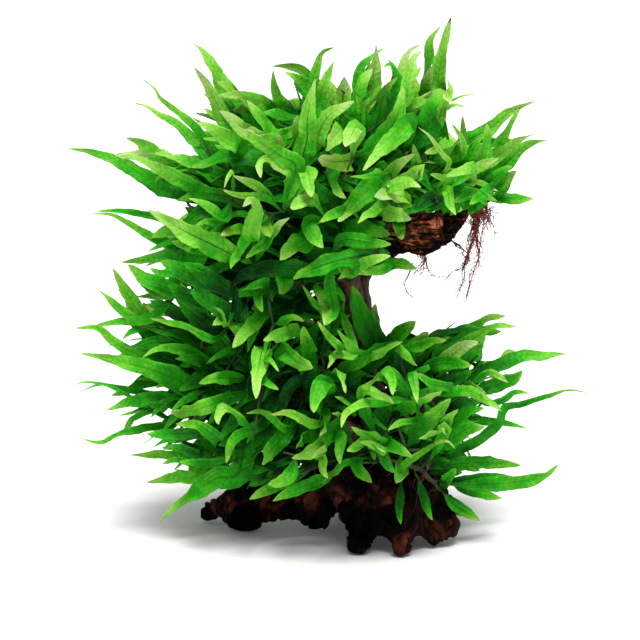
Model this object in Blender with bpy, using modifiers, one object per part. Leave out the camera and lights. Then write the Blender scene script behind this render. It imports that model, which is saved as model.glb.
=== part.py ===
"""Java fern on driftwood: a branched driftwood root with creeping fern rhizomes, leaves and hanging roots.

Metres, +Z up. The wood stands on its feet, which are cut flat at Z = 0, and the fern's front faces -Y.
Places that were read off the photograph are pixels of its 640 x 640 frame, and seen() turns them into the
part's frame. Limb and lump tables are in millimetres.
"""

import itertools
import math
import random

import bmesh
import bpy
from mathutils import Vector, noise
from mathutils.bvhtree import BVHTree

MM = 0.001
PHOTO_PIXEL = 0.75 * MM  # real size of one photo pixel at the middle of the plant
PHOTO_CENTRE = (320.0, 320.0)
PLANT_MIDDLE = (325.0, 538.0)  # pixel of the floor under the middle of the plant
VIEW_DISTANCE = 2.4
VIEW_TILT = math.radians(13.0)  # how far the photograph looks down

TOUCH_GAP = 0.4 * MM  # kept between pieces that touch
CUT_GAP = 0.3 * MM  # kept where the driftwood is parted at a fork
SEED = 11

# Driftwood
WOOD_VOXEL = 3.6 * MM
WOOD_TRIANGLES = 1150
WOOD_KNOBBLE = 2.6 * MM  # height of the bumps on the bark
WOOD_KNOBBLE_SIZE = 26 * MM
SMALL_KNOBBLE_SIZE = 11 * MM
KNOBBLE_STRETCH = 0.7  # bumps are longer up the trunk than across it
LIMB_STEP = 8 * MM
LIMB_SIDES = 10
CUT_DEPTH = 80 * MM  # how far the cuts reach under the floor and past it on all sides
CUT_SPREAD = 400 * MM
WOOD_COLOUR = (0.075, 0.026, 0.014, 1)

# Rhizomes
RHIZOME_RADIUS = 2.6 * MM
RHIZOME_STEP = 13.0 * MM
RHIZOME_SIDES = 6
RHIZOME_WANDER = 0.25
WANDER_TURN = 1.7  # radians per step
SKIN_REACH = 2.5  # where the search for the wood's skin starts, in limb radii
SITE_STEP = 4.0 * MM  # distance between growth sites along a rhizome
SITES_TRIED = (7, 24)  # growth sites that a leaf may choose from, first the nearest at any depth
SITE_LEAVES = 3  # most leaves at one site
RHIZOME_COLOUR = (0.06, 0.085, 0.02, 1)

# Leaves
LEAF_THICKNESS = 1.5 * MM
LEAF_CLEARANCE = 0.45 * MM
RIB = 3  # corners of a leaf's cross-section
# Ribs of a leaf up to each length: share of the length and share of the width.
LEAF_RIBS = (
    (48 * MM, ((0.0, 0.2), (0.3, 0.9), (0.68, 0.86))),
    (85 * MM, ((0.0, 0.16), (0.22, 0.72), (0.5, 1.0), (0.78, 0.68))),
    (300 * MM, ((0.0, 0.14), (0.16, 0.52), (0.38, 0.95), (0.62, 0.96), (0.84, 0.52))),
)
BEND = 0.6  # share of the length at which a leaf passes its middle pixel
LEAVES_OUTWARDS = 0.8  # how straight a leaf leaves its rhizome before it turns to its tip
TIP_CURL = 0.6
UPRIGHT = 0.35  # a leaf whose own level direction is shorter than this is taken as upright
UPRIGHT_LEAN = 0.6
HEAD_ON = 0.25  # a leaf that points this straight at the viewer shows its level face
SLOPE_STEP = 0.02  # share of the length over which a leaf's direction is measured
MIDDLE_DEPTH = 0.65  # depth of a leaf's middle as a share of the way from its root to its tip
DEPTH_SHIFTS = (0, -6, 6, -12, 12, -20, 20, -30, 30, -42)  # mm, tried in turn for a tip that finds no room
TURN_COST = 10 * MM  # what a sharp turn, a crowded site and a long reach count against a growth site
CROWD_COST = 14 * MM
FAR = 125 * MM
FAR_COST = 5.0
LEAF_COLOUR = (0.07, 0.31, 0.02, 1)

# Leaves of the back and sides
HIDDEN_LENGTHS = (0.110, 0.135)
SHORTEST_HIDDEN = 0.045
HIDDEN_WIDTHS = (0.010, 0.017)
HIDDEN_FACES = (0.3, 0.8)
HIDDEN_ARCH = 0.09  # rise of a leaf's middle as a share of its length
HIDDEN_TRIES = 24
HIDDEN_SHORTFALL = (0.86, 1.0)  # share of the way to the leafy mass's surface
FLOOR_ROOM = 12 * MM

# Hanging roots
STRAND_STEP = 12 * MM
STRAND_SIDES = 5
STRAND_TAPER = 0.72
ROOT_STEP_ASIDE = (0.3, -0.3, -0.6)  # mm, repeated until a bundle is clear of the wood
ROOT_COLOUR = (0.13, 0.035, 0.02, 1)

# Limbs of the driftwood: (x, y, z, radius) in mm along each, from the stock outwards.
LIMBS = {
    "stock": [(6, 2, 40, 20), (28, 2, 44, 27), (52, -4, 40, 31), (76, -10, 34, 22), (84, -14, 30, 15)],
    "left_root": [
        (10, 4, 38, 21), (-14, 8, 29, 19), (-32, 10, 25, 17), (-48, 12, 25, 15), (-64, 14, 23, 12),
        (-90, 34, 9, 9),
    ],
    "right_root": [(70, -16, 28, 18), (86, -22, 20, 14), (95, -24, 12, 10)],
    "back_root": [(36, 16, 36, 20), (32, 40, 24, 16), (26, 58, 10, 13)],
    "back_right_root": [(66, 8, 30, 16), (86, 30, 18, 12), (94, 42, 8, 10)],
    "trunk": [(36, 2, 58, 23), (34, 2, 92, 17), (29, 3, 135, 13.5), (24, 4, 175, 13), (23, 4, 206, 14)],
    "arm": [
        (24, 4, 210, 15), (42, 2, 226, 14), (60, -1, 234, 15.5), (80, -3, 237, 18), (98, -3, 250, 10),
        (114, -2, 256, 6),
    ],
    "crown_limb": [(24, 5, 214, 14), (18, 6, 246, 12), (9, 5, 278, 10), (12, 4, 308, 7)],
    "upper_left_limb": [(18, 6, 244, 11), (-12, 2, 260, 10), (-42, -2, 261, 8.5), (-68, -4, 251, 6)],
    "neck_limb": [(26, 4, 186, 11), (-4, 0, 197, 9), (-34, -4, 203, 8), (-60, -2, 200, 5.5)],
    "lower_left_limb": [(32, 3, 90, 14), (-8, 2, 104, 12), (-50, 0, 112, 10), (-86, 2, 110, 6.5)],
    "lower_right_limb": [(36, 0, 82, 13), (66, -4, 95, 11), (92, -4, 103, 8), (114, -2, 106, 5)],
    "front_limb": [(30, -4, 72, 13), (20, -30, 88, 9.5), (10, -52, 97, 6.5)],
    "back_limb": [(32, 10, 84, 13), (40, 38, 99, 9.5), (44, 62, 108, 6.5)],
}

# Knobs on the root stock and feet: (x, y, z, radius) in mm.
KNOBS = [
    (30, -34, 32, 23),
    (24, -50, 8, 12),
    (58, -54, 10, 12),
    (58, -40, 26, 17),
    (16, -30, 48, 17),
    (66, -40, 40, 11),
    (90, -20, 38, 8),
    (92, -26, 16, 13),
    (82, -36, 6, 9),
    (-61, 12, 14, 17),
    (-72, 2, 10, 9),
    (-90, 34, 8, 11),
    (-64, 12, 42, 9),
    (26, 60, 10, 13),
    (-5, -6, 11, 11),
    (94, 44, 6, 10),
    (86, 2, 230, 12),
    (74, -12, 228, 11),
]

# Rotted hollows: (x, y, z, radius) in mm.
HOLLOWS = [
    (17, -60, 26, 16),
    (33, -62, 28, 13),
    (45, -66, 36, 10),
    (-58, -9, 16, 11),
    (-66, 0, 14, 7),
    (-2, -20, 18, 6),
    (84, -46, 24, 7),
    (60, -66, 14, 6),
]

# Where a limb is parted from the rest: point and direction along the limb, reach and half width of the cut,
# in mm.
FORKS = {
    "driftwood_arm": ((42, 2, 225), (1, 0, 0.35), 120, 34),
    "driftwood_upper_left_limb": ((2, 3, 255), (-1, 0, 0.1), 90, 22),
    "driftwood_neck_limb": ((8, 2, 193), (-1, 0, 0.2), 90, 20),
    "driftwood_crown_limb": ((22, 5, 233), (-0.2, 0, 1), 110, 34),
    "driftwood_lower_left_limb": ((8, 2, 99), (-1, 0, 0.2), 110, 24),
    "driftwood_lower_right_limb": ((56, -2, 92), (1, 0, 0.3), 80, 22),
    "driftwood_front_limb": ((25, -21, 83), (-0.35, -1, 0.4), 60, 20),
    "driftwood_back_limb": ((37, 25, 94), (0.2, 1, 0.4), 60, 22),
    "driftwood_trunk": ((35, 2, 78), (-0.05, 0, 1), 180, 50),
    "driftwood_left_root": ((-14, 8, 40), (-1, 0.05, 0), 110, 60),
    "driftwood_back_root": ((34, 27, 30), (-0.15, 1, 0), 70, 36),
    "driftwood_right_root": ((76, -18, 30), (1, 0.1, 0), 60, 70),
}

# Rhizomes: limb that each creeps on, side of it that it lies on, and the share of the limb that it covers.
RHIZOMES = {
    "rhizome_crown_front": ("crown_limb", (-0.25, -1, 0.1), 0.10, 0.96),
    "rhizome_crown_back": ("crown_limb", (0.3, 1, 0.1), 0.12, 0.96),
    "rhizome_upper_left": ("upper_left_limb", (0, -0.75, 0.7), 0.22, 0.98),
    "rhizome_arm": ("arm", (0, -0.45, 1), 0.18, 0.98),
    "rhizome_neck": ("neck_limb", (0, -0.75, 0.6), 0.22, 0.98),
    "rhizome_lower_left": ("lower_left_limb", (0, -0.6, 0.8), 0.20, 0.98),
    "rhizome_lower_right": ("lower_right_limb", (0, -0.5, 0.85), 0.22, 0.98),
    "rhizome_front": ("front_limb", (-0.5, 0, 1), 0.18, 0.98),
    "rhizome_back": ("back_limb", (0.3, 0, 1), 0.18, 0.98),
    "rhizome_trunk": ("trunk", (-0.5, 0.85, 0), 0.30, 0.94),
    "rhizome_stock": ("stock", (0.1, -0.75, 0.75), 0.06, 0.96),
}

# Leaves that make the outline, each a piece of its own. A row is: tip pixel, pixel at 0.6 of the length,
# width in mm, how far the blade faces the viewer (0 to 1), depth of the tip in mm (negative is nearer).
OUTLINE_LEAVES = {
    "leaf_upper_left": [
        ((69, 148), (148, 172), 16, 0.7, -18),
        ((120, 155), (190, 190), 13, 0.5, -42),
        ((127, 136), (166, 164), 14, 0.7, 16),
        ((136, 102), (188, 136), 11, 0.6, 40),
        ((144, 80), (206, 132), 17, 0.7, -8),
        ((193, 43), (222, 82), 18, 0.8, 6),
        ((194, 68), (213, 100), 12, 0.7, -34),
    ],
    "leaf_crown": [
        ((272, 71), (286, 98), 11, 0.7, -20),
        ((273, 67), (300, 74), 10, 0.5, 34),
        ((334, 49), (314, 82), 16, 0.8, 4),
        ((383, 47), (358, 84), 9, 0.8, 38),
        ((389, 60), (386, 96), 16, 0.9, 20),
        ((420, 44), (404, 92), 15, 0.8, 46),
        ((440, 26), (425, 92), 16, 0.9, 14),
        ((449, 18), (440, 90), 15, 0.9, -14),
    ],
    "leaf_arm": [
        ((534, 101), (500, 117), 12, 0.7, 30),
        ((522, 108), (508, 132), 11, 0.7, 8),
        ((548, 141), (514, 154), 11, 0.6, -4),
        ((533, 198), (512, 199), 10, 0.7, -14),
    ],
    "leaf_neck": [
        ((93, 215), (168, 224), 19, 0.8, -10),
        ((121, 266), (164, 256), 11, 0.6, 12),
        ((113, 269), (126, 300), 14, 0.8, 6),
    ],
    "leaf_lower_left": [
        ((75, 328), (112, 340), 10, 0.6, -12),
        ((82, 354), (152, 370), 19, 0.8, -40),
        ((79, 392), (118, 386), 8, 0.4, 20),
        ((80, 438), (116, 438), 9, 0.5, -14),
        ((148, 483), (180, 468), 15, 0.7, -38),
        ((160, 521), (208, 498), 17, 0.9, -66),
    ],
    "leaf_lower_right": [
        ((506, 318), (474, 326), 11, 0.6, 20),
        ((565, 355), (516, 361), 12, 0.6, 8),
        ((522, 370), (496, 388), 16, 0.7, -10),
        ((586, 394), (508, 408), 12, 0.6, -32),
        ((521, 466), (480, 464), 12, 0.6, 24),
        ((558, 465), (506, 482), 14, 0.7, -22),
    ],
}

# Smaller leaves, each fused to the rhizome that it grows from. A row is: tip pixel, pixel at 0.6 of the
# length, width in mm, how far the blade faces the viewer, depth of the tip as a share of the plant's own
# depth there (1 is its front surface, 0 its middle, -1 its back).
SMALL_LEAVES = [
    ((218, 142), (246, 158), 15, 0.7, 0.5),
    ((216, 97), (248, 98), 9, 0.6, 0.3),
    ((246, 136), (273, 150), 12, 0.6, 0.6),
    ((164, 156), (206, 181), 16, 0.7, 0.25),
    ((285, 72), (298, 94), 12, 0.8, 0.2),
    ((344, 77), (345, 102), 12, 0.9, 0.15),
    ((376, 44), (374, 82), 11, 0.9, -0.2),
    ((478, 94), (460, 98), 6, 0.5, 0.1),
    ((465, 107), (452, 110), 9, 0.6, 0.3),
    ((433, 92), (415, 108), 10, 0.7, 0.5),
    ((396, 78), (380, 106), 15, 0.9, 0.5),
    ((462, 116), (463, 130), 8, 0.8, 0.2),
    ((535, 134), (510, 146), 11, 0.6, 0.4),
    ((516, 171), (508, 183), 11, 0.8, 0.2),
    ((498, 158), (456, 182), 14, 0.8, 0.7),
    ((413, 155), (392, 178), 11, 0.8, 0.9),
    ((338, 222), (353, 204), 12, 0.8, 0.9),
    ((386, 187), (402, 182), 10, 0.6, 0.9),
    ((374, 197), (392, 199), 10, 0.6, 0.9),
    ((409, 218), (391, 212), 11, 0.7, 1.0),
    ((463, 210), (446, 206), 9, 0.7, 0.8),
    ((401, 240), (398, 229), 9, 0.8, 0.9),
    ((391, 235), (358, 232), 14, 0.7, 0.8),
    ((416, 269), (389, 268), 12, 0.6, 0.5),
    ((372, 255), (336, 264), 15, 0.7, 0.8),
    ((319, 158), (332, 162), 12, 0.8, 0.9),
    ((345, 200), (336, 182), 8, 0.7, 0.9),
    ((303, 206), (303, 184), 12, 0.8, 0.9),
    ((251, 233), (252, 214), 12, 0.8, 0.9),
    ((221, 235), (235, 232), 8, 0.7, 0.7),
    ((289, 217), (268, 235), 8, 0.7, 0.9),
    ((280, 259), (300, 249), 11, 0.8, 0.9),
    ((185, 207), (199, 214), 9, 0.6, 0.2),
    ((99, 289), (120, 307), 12, 0.8, 0.1),
    ((179, 283), (203, 312), 13, 0.8, 0.6),
    ((143, 302), (160, 320), 12, 0.8, 0.4),
    ((143, 357), (172, 350), 9, 0.6, 0.4),
    ((200, 382), (222, 375), 10, 0.7, 0.8),
    ((255, 397), (258, 368), 14, 0.9, 1.0),
    ((264, 341), (281, 337), 10, 0.7, 0.9),
    ((311, 368), (294, 361), 12, 0.8, 0.9),
    ((302, 327), (306, 346), 11, 0.9, 0.9),
    ((233, 346), (249, 331), 11, 0.8, 0.8),
    ((515, 324), (484, 338), 11, 0.7, 0.3),
    ((247, 414), (272, 417), 8, 0.6, 0.9),
    ((427, 332), (415, 347), 14, 0.8, 0.5),
    ((262, 312), (262, 292), 9, 0.8, 0.8),
    ((324, 324), (325, 303), 11, 0.9, 0.9),
    ((280, 294), (284, 284), 11, 0.9, 0.8),
    ((303, 286), (322, 316), 9, 0.7, 0.7),
    ((214, 325), (232, 322), 11, 0.8, 0.7),
    ((161, 314), (184, 312), 8, 0.6, 0.6),
    ((141, 285), (172, 288), 16, 0.8, 0.1),
    ((148, 250), (168, 243), 8, 0.6, 0.1),
    ((196, 225), (214, 222), 8, 0.5, 0.6),
    ((231, 299), (248, 290), 10, 0.7, 0.7),
    ((192, 268), (222, 266), 11, 0.7, 0.4),
    ((345, 392), (340, 372), 9, 0.8, 0.9),
    ((107, 409), (141, 402), 11, 0.6, 0.1),
    ((124, 429), (137, 419), 7, 0.5, -0.2),
    ((171, 411), (190, 412), 9, 0.6, 0.6),
    ((129, 457), (166, 443), 9, 0.5, 0.1),
    ((174, 471), (212, 470), 10, 0.5, 0.4),
    ((227, 461), (240, 438), 9, 0.8, 0.9),
    ((262, 464), (275, 446), 13, 0.9, 0.9),
    ((296, 448), (306, 438), 11, 0.8, 1.0),
    ((292, 458), (320, 448), 12, 0.8, 1.0),
    ((323, 436), (324, 420), 8, 0.9, 1.0),
    ((250, 500), (270, 486), 12, 0.8, 0.9),
    ((273, 501), (297, 488), 13, 0.8, 1.0),
    ((352, 285), (361, 325), 17, 0.9, 0.35),
    ((401, 340), (371, 358), 10, 0.7, 0.8),
    ((416, 321), (409, 336), 14, 0.9, 0.3),
    ((457, 322), (445, 330), 7, 0.6, 0.0),
    ((479, 343), (455, 352), 11, 0.6, 0.5),
    ((508, 383), (499, 378), 7, 0.5, 0.2),
    ((470, 366), (449, 368), 12, 0.7, 0.6),
    ((486, 393), (465, 390), 8, 0.6, 0.7),
    ((440, 392), (420, 403), 10, 0.7, 1.0),
    ((450, 399), (430, 418), 15, 0.8, 0.9),
    ((484, 427), (464, 430), 11, 0.6, 0.5),
    ((421, 438), (437, 432), 9, 0.7, 1.0),
    ((527, 429), (496, 420), 7, 0.5, 0.0),
    ((396, 483), (406, 468), 10, 0.8, 0.9),
    ((373, 482), (362, 470), 11, 0.8, 1.0),
    ((323, 483), (333, 473), 8, 0.8, 1.0),
    ((384, 451), (373, 445), 9, 0.7, 1.0),
    ((333, 413), (350, 407), 8, 0.7, 1.0),
    ((393, 403), (378, 396), 9, 0.7, 1.0),
    ((328, 367), (336, 353), 8, 0.8, 0.9),
    ((432, 520), (424, 500), 7, 0.8, 0.8),
    ((401, 524), (399, 508), 8, 0.8, 0.9),
    ((480, 521), (456, 508), 8, 0.6, 0.4),
    ((501, 498), (481, 493), 7, 0.5, 0.2),
]

# Back and sides, which the photograph doesn't show: how many leaves each rhizome adds, compass bearings
# (0 is +X, 90 is +Y, the back) and the rise of their tips, in degrees.
HIDDEN_LEAVES = {
    "rhizome_crown_back": (8, (35, 165), (25, 75)),
    "rhizome_crown_front": (2, (60, 140), (40, 80)),
    "rhizome_upper_left": (5, (95, 190), (10, 50)),
    "rhizome_arm": (5, (15, 110), (15, 60)),
    "rhizome_neck": (4, (100, 185), (-10, 25)),
    "rhizome_lower_left": (5, (95, 190), (-15, 30)),
    "rhizome_lower_right": (4, (-5, 85), (-15, 30)),
    "rhizome_back": (9, (40, 140), (-30, 40)),
    "rhizome_trunk": (5, (70, 170), (-20, 40)),
    "rhizome_stock": (2, (-60, 10), (-10, 10)),
}

# The plant's outline in the photograph, which leaves of the back and sides stay inside.
OUTLINE = [
    (92, 148), (122, 134), (142, 106), (178, 108), (204, 70), (232, 96), (262, 100), (284, 76),
    (318, 84), (348, 88), (372, 66), (404, 66), (430, 46), (446, 60), (448, 104), (490, 122),
    (526, 122), (532, 146), (512, 190), (478, 216), (440, 244), (396, 262), (374, 290), (378, 322),
    (440, 330), (498, 326), (540, 356), (556, 388), (520, 424), (522, 462), (500, 490), (440, 512),
    (330, 500), (250, 492), (180, 478), (128, 440), (104, 398), (96, 360), (102, 316), (132, 272),
    (140, 236), (128, 208), (150, 180),
]

# The plant's two leafy masses: centre and half sizes in mm.
MASSES = {
    "upper": ((-10, 0, 268), (168, 104, 124)),
    "lower": ((2, 0, 112), (186, 128, 96)),
}
MASS_BORDER = 190 * MM  # height at which one mass ends and the other begins
MASS_RIM = 0.06  # least square of the share of a mass's depth at its rim
MASS_STEP = 4 * MM
MASS_REACH = 200 * MM

# Hanging roots: pixels along each strand, its depths and its radius at the top in mm. The first strand of a
# bundle carries the rest.
ROOT_BUNDLES = {
    "roots_arm_tip": (
        (
            ((488, 213), (483, 226), (478, 244), (471, 266), (469, 282), (463, 299)),
            (-8, -11, -12, -13, -12, -12),
            2.4,
        ),
        (((484, 222), (483, 238), (485, 258), (477, 280), (471, 302)), (-10, -6, -3, -1, 0), 1.6),
        (((487, 215), (494, 217), (499, 226), (504, 236)), (-9, -8, -10, -11), 1.2),
        (((475, 254), (469, 268), (459, 272), (450, 282)), (-12, -15, -16, -17), 1.3),
    ),
    "roots_under_arm": (
        (((424, 254), (423, 263), (423, 270), (420, 276)), (-8, -9, -10, -11), 1.3),
        (((424, 258), (428, 270), (438, 277), (450, 274)), (-8, -10, -12, -14), 1.2),
        (((422, 260), (414, 272), (410, 288)), (-9, -7, -6), 1.0),
    ),
}


def seen(pixel, depth):
    """The point of the part's frame that the photograph shows at pixel, at this depth (Y, metres)."""
    aim_x = (PHOTO_CENTRE[0] - PLANT_MIDDLE[0]) * PHOTO_PIXEL
    aim_z = (PLANT_MIDDLE[1] - PHOTO_CENTRE[1]) * PHOTO_PIXEL / math.cos(VIEW_TILT)
    aim = Vector((aim_x, 0, aim_z))
    eye = aim - VIEW_DISTANCE * Vector((0, math.cos(VIEW_TILT), -math.sin(VIEW_TILT)))
    across = (pixel[0] - PHOTO_CENTRE[0]) * PHOTO_PIXEL
    up = (PHOTO_CENTRE[1] - pixel[1]) * PHOTO_PIXEL
    ray = aim + Vector((across, up * math.sin(VIEW_TILT), up * math.cos(VIEW_TILT))) - eye
    return eye + ray * ((depth - eye.y) / ray.y)


def photo_pixel(point):
    """Where the photograph shows a point of the part's frame."""
    aim_x = (PHOTO_CENTRE[0] - PLANT_MIDDLE[0]) * PHOTO_PIXEL
    aim_z = (PLANT_MIDDLE[1] - PHOTO_CENTRE[1]) * PHOTO_PIXEL / math.cos(VIEW_TILT)
    ahead = Vector((0, math.cos(VIEW_TILT), -math.sin(VIEW_TILT)))
    upwards = Vector((0, math.sin(VIEW_TILT), math.cos(VIEW_TILT)))
    spot = point - Vector((aim_x, 0, aim_z))
    scale = VIEW_DISTANCE / (VIEW_DISTANCE + spot.dot(ahead)) / PHOTO_PIXEL
    return PHOTO_CENTRE[0] + spot.x * scale, PHOTO_CENTRE[1] - spot.dot(upwards) * scale


def inside_outline(pixel):
    """Counts the outline's edges to the right of the pixel."""
    inside = False
    for (x0, y0), (x1, y1) in zip(OUTLINE, OUTLINE[1:] + OUTLINE[:1]):
        if (y0 > pixel[1]) != (y1 > pixel[1]) and pixel[0] < x0 + (pixel[1] - y0) * (x1 - x0) / (y1 - y0):
            inside = not inside
    return inside


def millimetres(values):
    return Vector(values) * MM


def clear_scene():
    for old in list(bpy.data.objects):
        bpy.data.objects.remove(old, do_unlink=True)


def collection(name):
    made = bpy.data.collections.new(name)
    bpy.context.scene.collection.children.link(made)
    return made


def material(name, colour, roughness):
    made = bpy.data.materials.new(name)
    made.use_nodes = True
    shader = made.node_tree.nodes["Principled BSDF"]
    shader.inputs["Base Color"].default_value = colour
    shader.inputs["Roughness"].default_value = roughness
    shader.inputs["Metallic"].default_value = 0.0
    return made


def add_object(name, mesh, where, finish=None):
    made = bpy.data.objects.new(name, mesh)
    where.objects.link(made)
    if finish:
        made.data.materials.clear()
        made.data.materials.append(finish)
    return made


def hide_helper(helper):
    helper.hide_render = True
    helper.display_type = "WIRE"


def baked(obj):
    """A copy of the object's mesh with its modifiers applied."""
    bpy.context.view_layer.update()
    graph = bpy.context.evaluated_depsgraph_get()
    return bpy.data.meshes.new_from_object(obj.evaluated_get(graph))


def mesh_from(bm, name):
    mesh = bpy.data.meshes.new(name)
    bmesh.ops.recalc_face_normals(bm, faces=bm.faces)
    bm.to_mesh(mesh)
    bm.free()
    return mesh


def boolean(obj, other, operation, solver="EXACT", among_itself=False):
    """Applies one Boolean of other to obj at once."""
    modifier = obj.modifiers.new(operation.lower(), "BOOLEAN")
    modifier.operation = operation
    modifier.solver = solver
    modifier.use_self = among_itself
    modifier.object = other
    old = obj.data
    new = baked(obj)
    obj.modifiers.clear()
    obj.data = new
    bpy.data.meshes.remove(old)


def tube_mesh(name, points, radii, sides, where):
    """A closed tube through points as a welded mesh, made from a curve with a bevel."""
    curve = bpy.data.curves.new(name, "CURVE")
    curve.dimensions = "3D"
    curve.bevel_depth = 1.0
    curve.bevel_resolution = max(0, sides // 2 - 2)
    curve.use_fill_caps = True
    spline = curve.splines.new("POLY")
    spline.points.add(len(points) - 1)
    for spot, place, radius in zip(spline.points, points, radii):
        spot.co = (*place, 1)
        spot.radius = radius
    made = add_object(name, curve, where)
    mesh = baked(made)
    bpy.data.objects.remove(made)
    bpy.data.curves.remove(curve)
    bm = bmesh.new()
    bm.from_mesh(mesh)
    bmesh.ops.remove_doubles(bm, verts=bm.verts, dist=1e-5)
    bmesh.ops.triangulate(bm, faces=bm.faces)
    bpy.data.meshes.remove(mesh)
    return mesh_from(bm, name)


def smooth_path(stops, step):
    """Points about step apart on the Catmull-Rom curve through the stops, which are vectors of any size."""
    ends = [2 * stops[0] - stops[1], *stops, 2 * stops[-1] - stops[-2]]
    path = []
    for before, start, end, after in zip(ends, ends[1:], ends[2:], ends[3:]):
        pieces = max(1, round((end - start).length / step))
        for i in range(pieces):
            s = i / pieces
            path.append(
                0.5
                * (
                    2 * start
                    + (end - before) * s
                    + (2 * before - 5 * start + 4 * end - after) * s**2
                    + (3 * start - before - 3 * end + after) * s**3
                )
            )
    return [*path, stops[-1].copy()]


def limb_path(rows, step):
    """Centre points and radii, in metres, along one limb of the driftwood."""
    path = smooth_path([Vector(row) * MM for row in rows], step)
    return [p.to_3d() for p in path], [p[3] for p in path]


def wood_mesh(cutters):
    """The whole driftwood in one skin: limbs and knobs fused by a voxel remesh, hollowed and knobbled."""
    bm = bmesh.new()
    for name, rows in LIMBS.items():
        points, radii = limb_path(rows, LIMB_STEP)
        limb = tube_mesh(name, points, radii, LIMB_SIDES, cutters)
        bm.from_mesh(limb)
        bpy.data.meshes.remove(limb)
    for x, y, z, radius in KNOBS + [rows[-1] for rows in LIMBS.values()]:
        made = bmesh.ops.create_icosphere(bm, subdivisions=3, radius=radius * MM)
        bmesh.ops.translate(bm, verts=made["verts"], vec=millimetres((x, y, z)))
    wood = add_object("wood_blank", mesh_from(bm, "wood_blank"), cutters)
    for x, y, z, radius in HOLLOWS:
        bm = bmesh.new()
        bmesh.ops.create_icosphere(bm, subdivisions=2, radius=radius * MM)
        bmesh.ops.translate(bm, verts=bm.verts, vec=millimetres((x, y, z)))
        hollow = add_object("hollow", mesh_from(bm, "hollow"), cutters)
        fuse = wood.modifiers.new("fuse", "REMESH")
        fuse.mode = "VOXEL"
        fuse.voxel_size = WOOD_VOXEL
        boolean(wood, hollow, "DIFFERENCE")
        bpy.data.objects.remove(hollow)
    knobble(wood.data)
    thin = wood.modifiers.new("thin", "DECIMATE")
    thin.ratio = min(1.0, WOOD_TRIANGLES / (2 * len(wood.data.polygons)))
    mesh = baked(wood)
    bpy.data.objects.remove(wood)
    return mesh


def knobble(mesh):
    """Pushes the skin in and out by noise, stretched up the trunk as bark is."""
    moved = []
    for vertex in mesh.vertices:
        place = Vector((vertex.co.x, vertex.co.y, vertex.co.z * KNOBBLE_STRETCH))
        lift = noise.noise(place / WOOD_KNOBBLE_SIZE) + 0.5 * noise.noise(place / SMALL_KNOBBLE_SIZE)
        moved.append(vertex.co + vertex.normal * lift * WOOD_KNOBBLE)
    for vertex, place in zip(mesh.vertices, moved):
        vertex.co = place


def cut_box(name, at, along, reach, half_width, where):
    """A box that starts at a fork and runs along the limb past its end."""
    bm = bmesh.new()
    bmesh.ops.create_cube(bm, size=1.0)
    bmesh.ops.scale(bm, verts=bm.verts, vec=(2 * half_width, 2 * half_width, reach))
    bmesh.ops.translate(bm, verts=bm.verts, vec=(0, 0, reach / 2))
    turn = along.to_track_quat("Z", "Y").to_matrix()
    bmesh.ops.rotate(bm, verts=bm.verts, matrix=turn)
    bmesh.ops.translate(bm, verts=bm.verts, vec=at)
    box = add_object(name, mesh_from(bm, name), where)
    hide_helper(box)
    return box


def largest_body(mesh):
    """Keeps only the biggest connected piece of a mesh, so that crumbs of a cut are dropped."""
    bm = bmesh.new()
    bm.from_mesh(mesh)
    bmesh.ops.remove_doubles(bm, verts=bm.verts, dist=1e-6)
    left = set(bm.verts)
    bodies = []
    while left:
        front = [left.pop()]
        body = set(front)
        while front:
            near = {edge.other_vert(v) for v in front for edge in v.link_edges} - body
            body |= near
            front = list(near)
        left -= body
        bodies.append(body)
    bodies.sort(key=len)
    crumbs = [v for body in bodies[:-1] for v in body]
    bmesh.ops.delete(bm, geom=crumbs, context="VERTS")
    mesh.clear_geometry()
    bm.to_mesh(mesh)
    bm.free()


def make_driftwood(parts, cutters, finish):
    """The driftwood, parted at its main forks, and the skin that it had whole."""
    stock = add_object("driftwood_stock", wood_mesh(cutters), parts, finish)
    skin = BVHTree.FromPolygons(*mesh_lists(stock.data))
    floor = cut_box("floor_cut", Vector((0, 0, 0)), Vector((0, 0, -1)), CUT_DEPTH, CUT_SPREAD, cutters)
    boolean(stock, floor, "DIFFERENCE")
    made = {"driftwood_stock": stock}
    for name, (at, along, reach, half_width) in FORKS.items():
        along = Vector(along).normalized()
        reach, half_width = reach * MM, half_width * MM
        keep = cut_box(name + "_cell", millimetres(at) + along * CUT_GAP, along, reach, half_width, cutters)
        limb = add_object(name, stock.data.copy(), parts, finish)
        boolean(limb, keep, "INTERSECT")
        largest_body(limb.data)
        grown = half_width + CUT_GAP
        away = cut_box(name + "_cut", millimetres(at), along, reach + CUT_GAP, grown, cutters)
        boolean(stock, away, "DIFFERENCE")
        made[name] = limb
    largest_body(stock.data)
    return made, skin


def mesh_lists(mesh):
    return [v.co.copy() for v in mesh.vertices], [p.vertices[:] for p in mesh.polygons]


class Crowd:
    """The pieces placed so far, asked whether a new one would run into them."""

    def __init__(self):
        self.pieces = []

    def add(self, owner, points, faces):
        low = Vector(map(min, zip(*points)))
        high = Vector(map(max, zip(*points)))
        self.pieces.append((owner, low, high, BVHTree.FromPolygons(points, faces)))

    def add_mesh(self, owner, mesh):
        self.add(owner, *mesh_lists(mesh))

    def meets(self, points, faces, but=()):
        low = Vector(map(min, zip(*points)))
        high = Vector(map(max, zip(*points)))
        tree = BVHTree.FromPolygons(points, faces)
        for owner, other_low, other_high, other in self.pieces:
            apart = any(high[i] < other_low[i] or low[i] > other_high[i] for i in range(3))
            if owner in but or apart:
                continue
            if tree.overlap(other):
                return True
        return False


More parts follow.
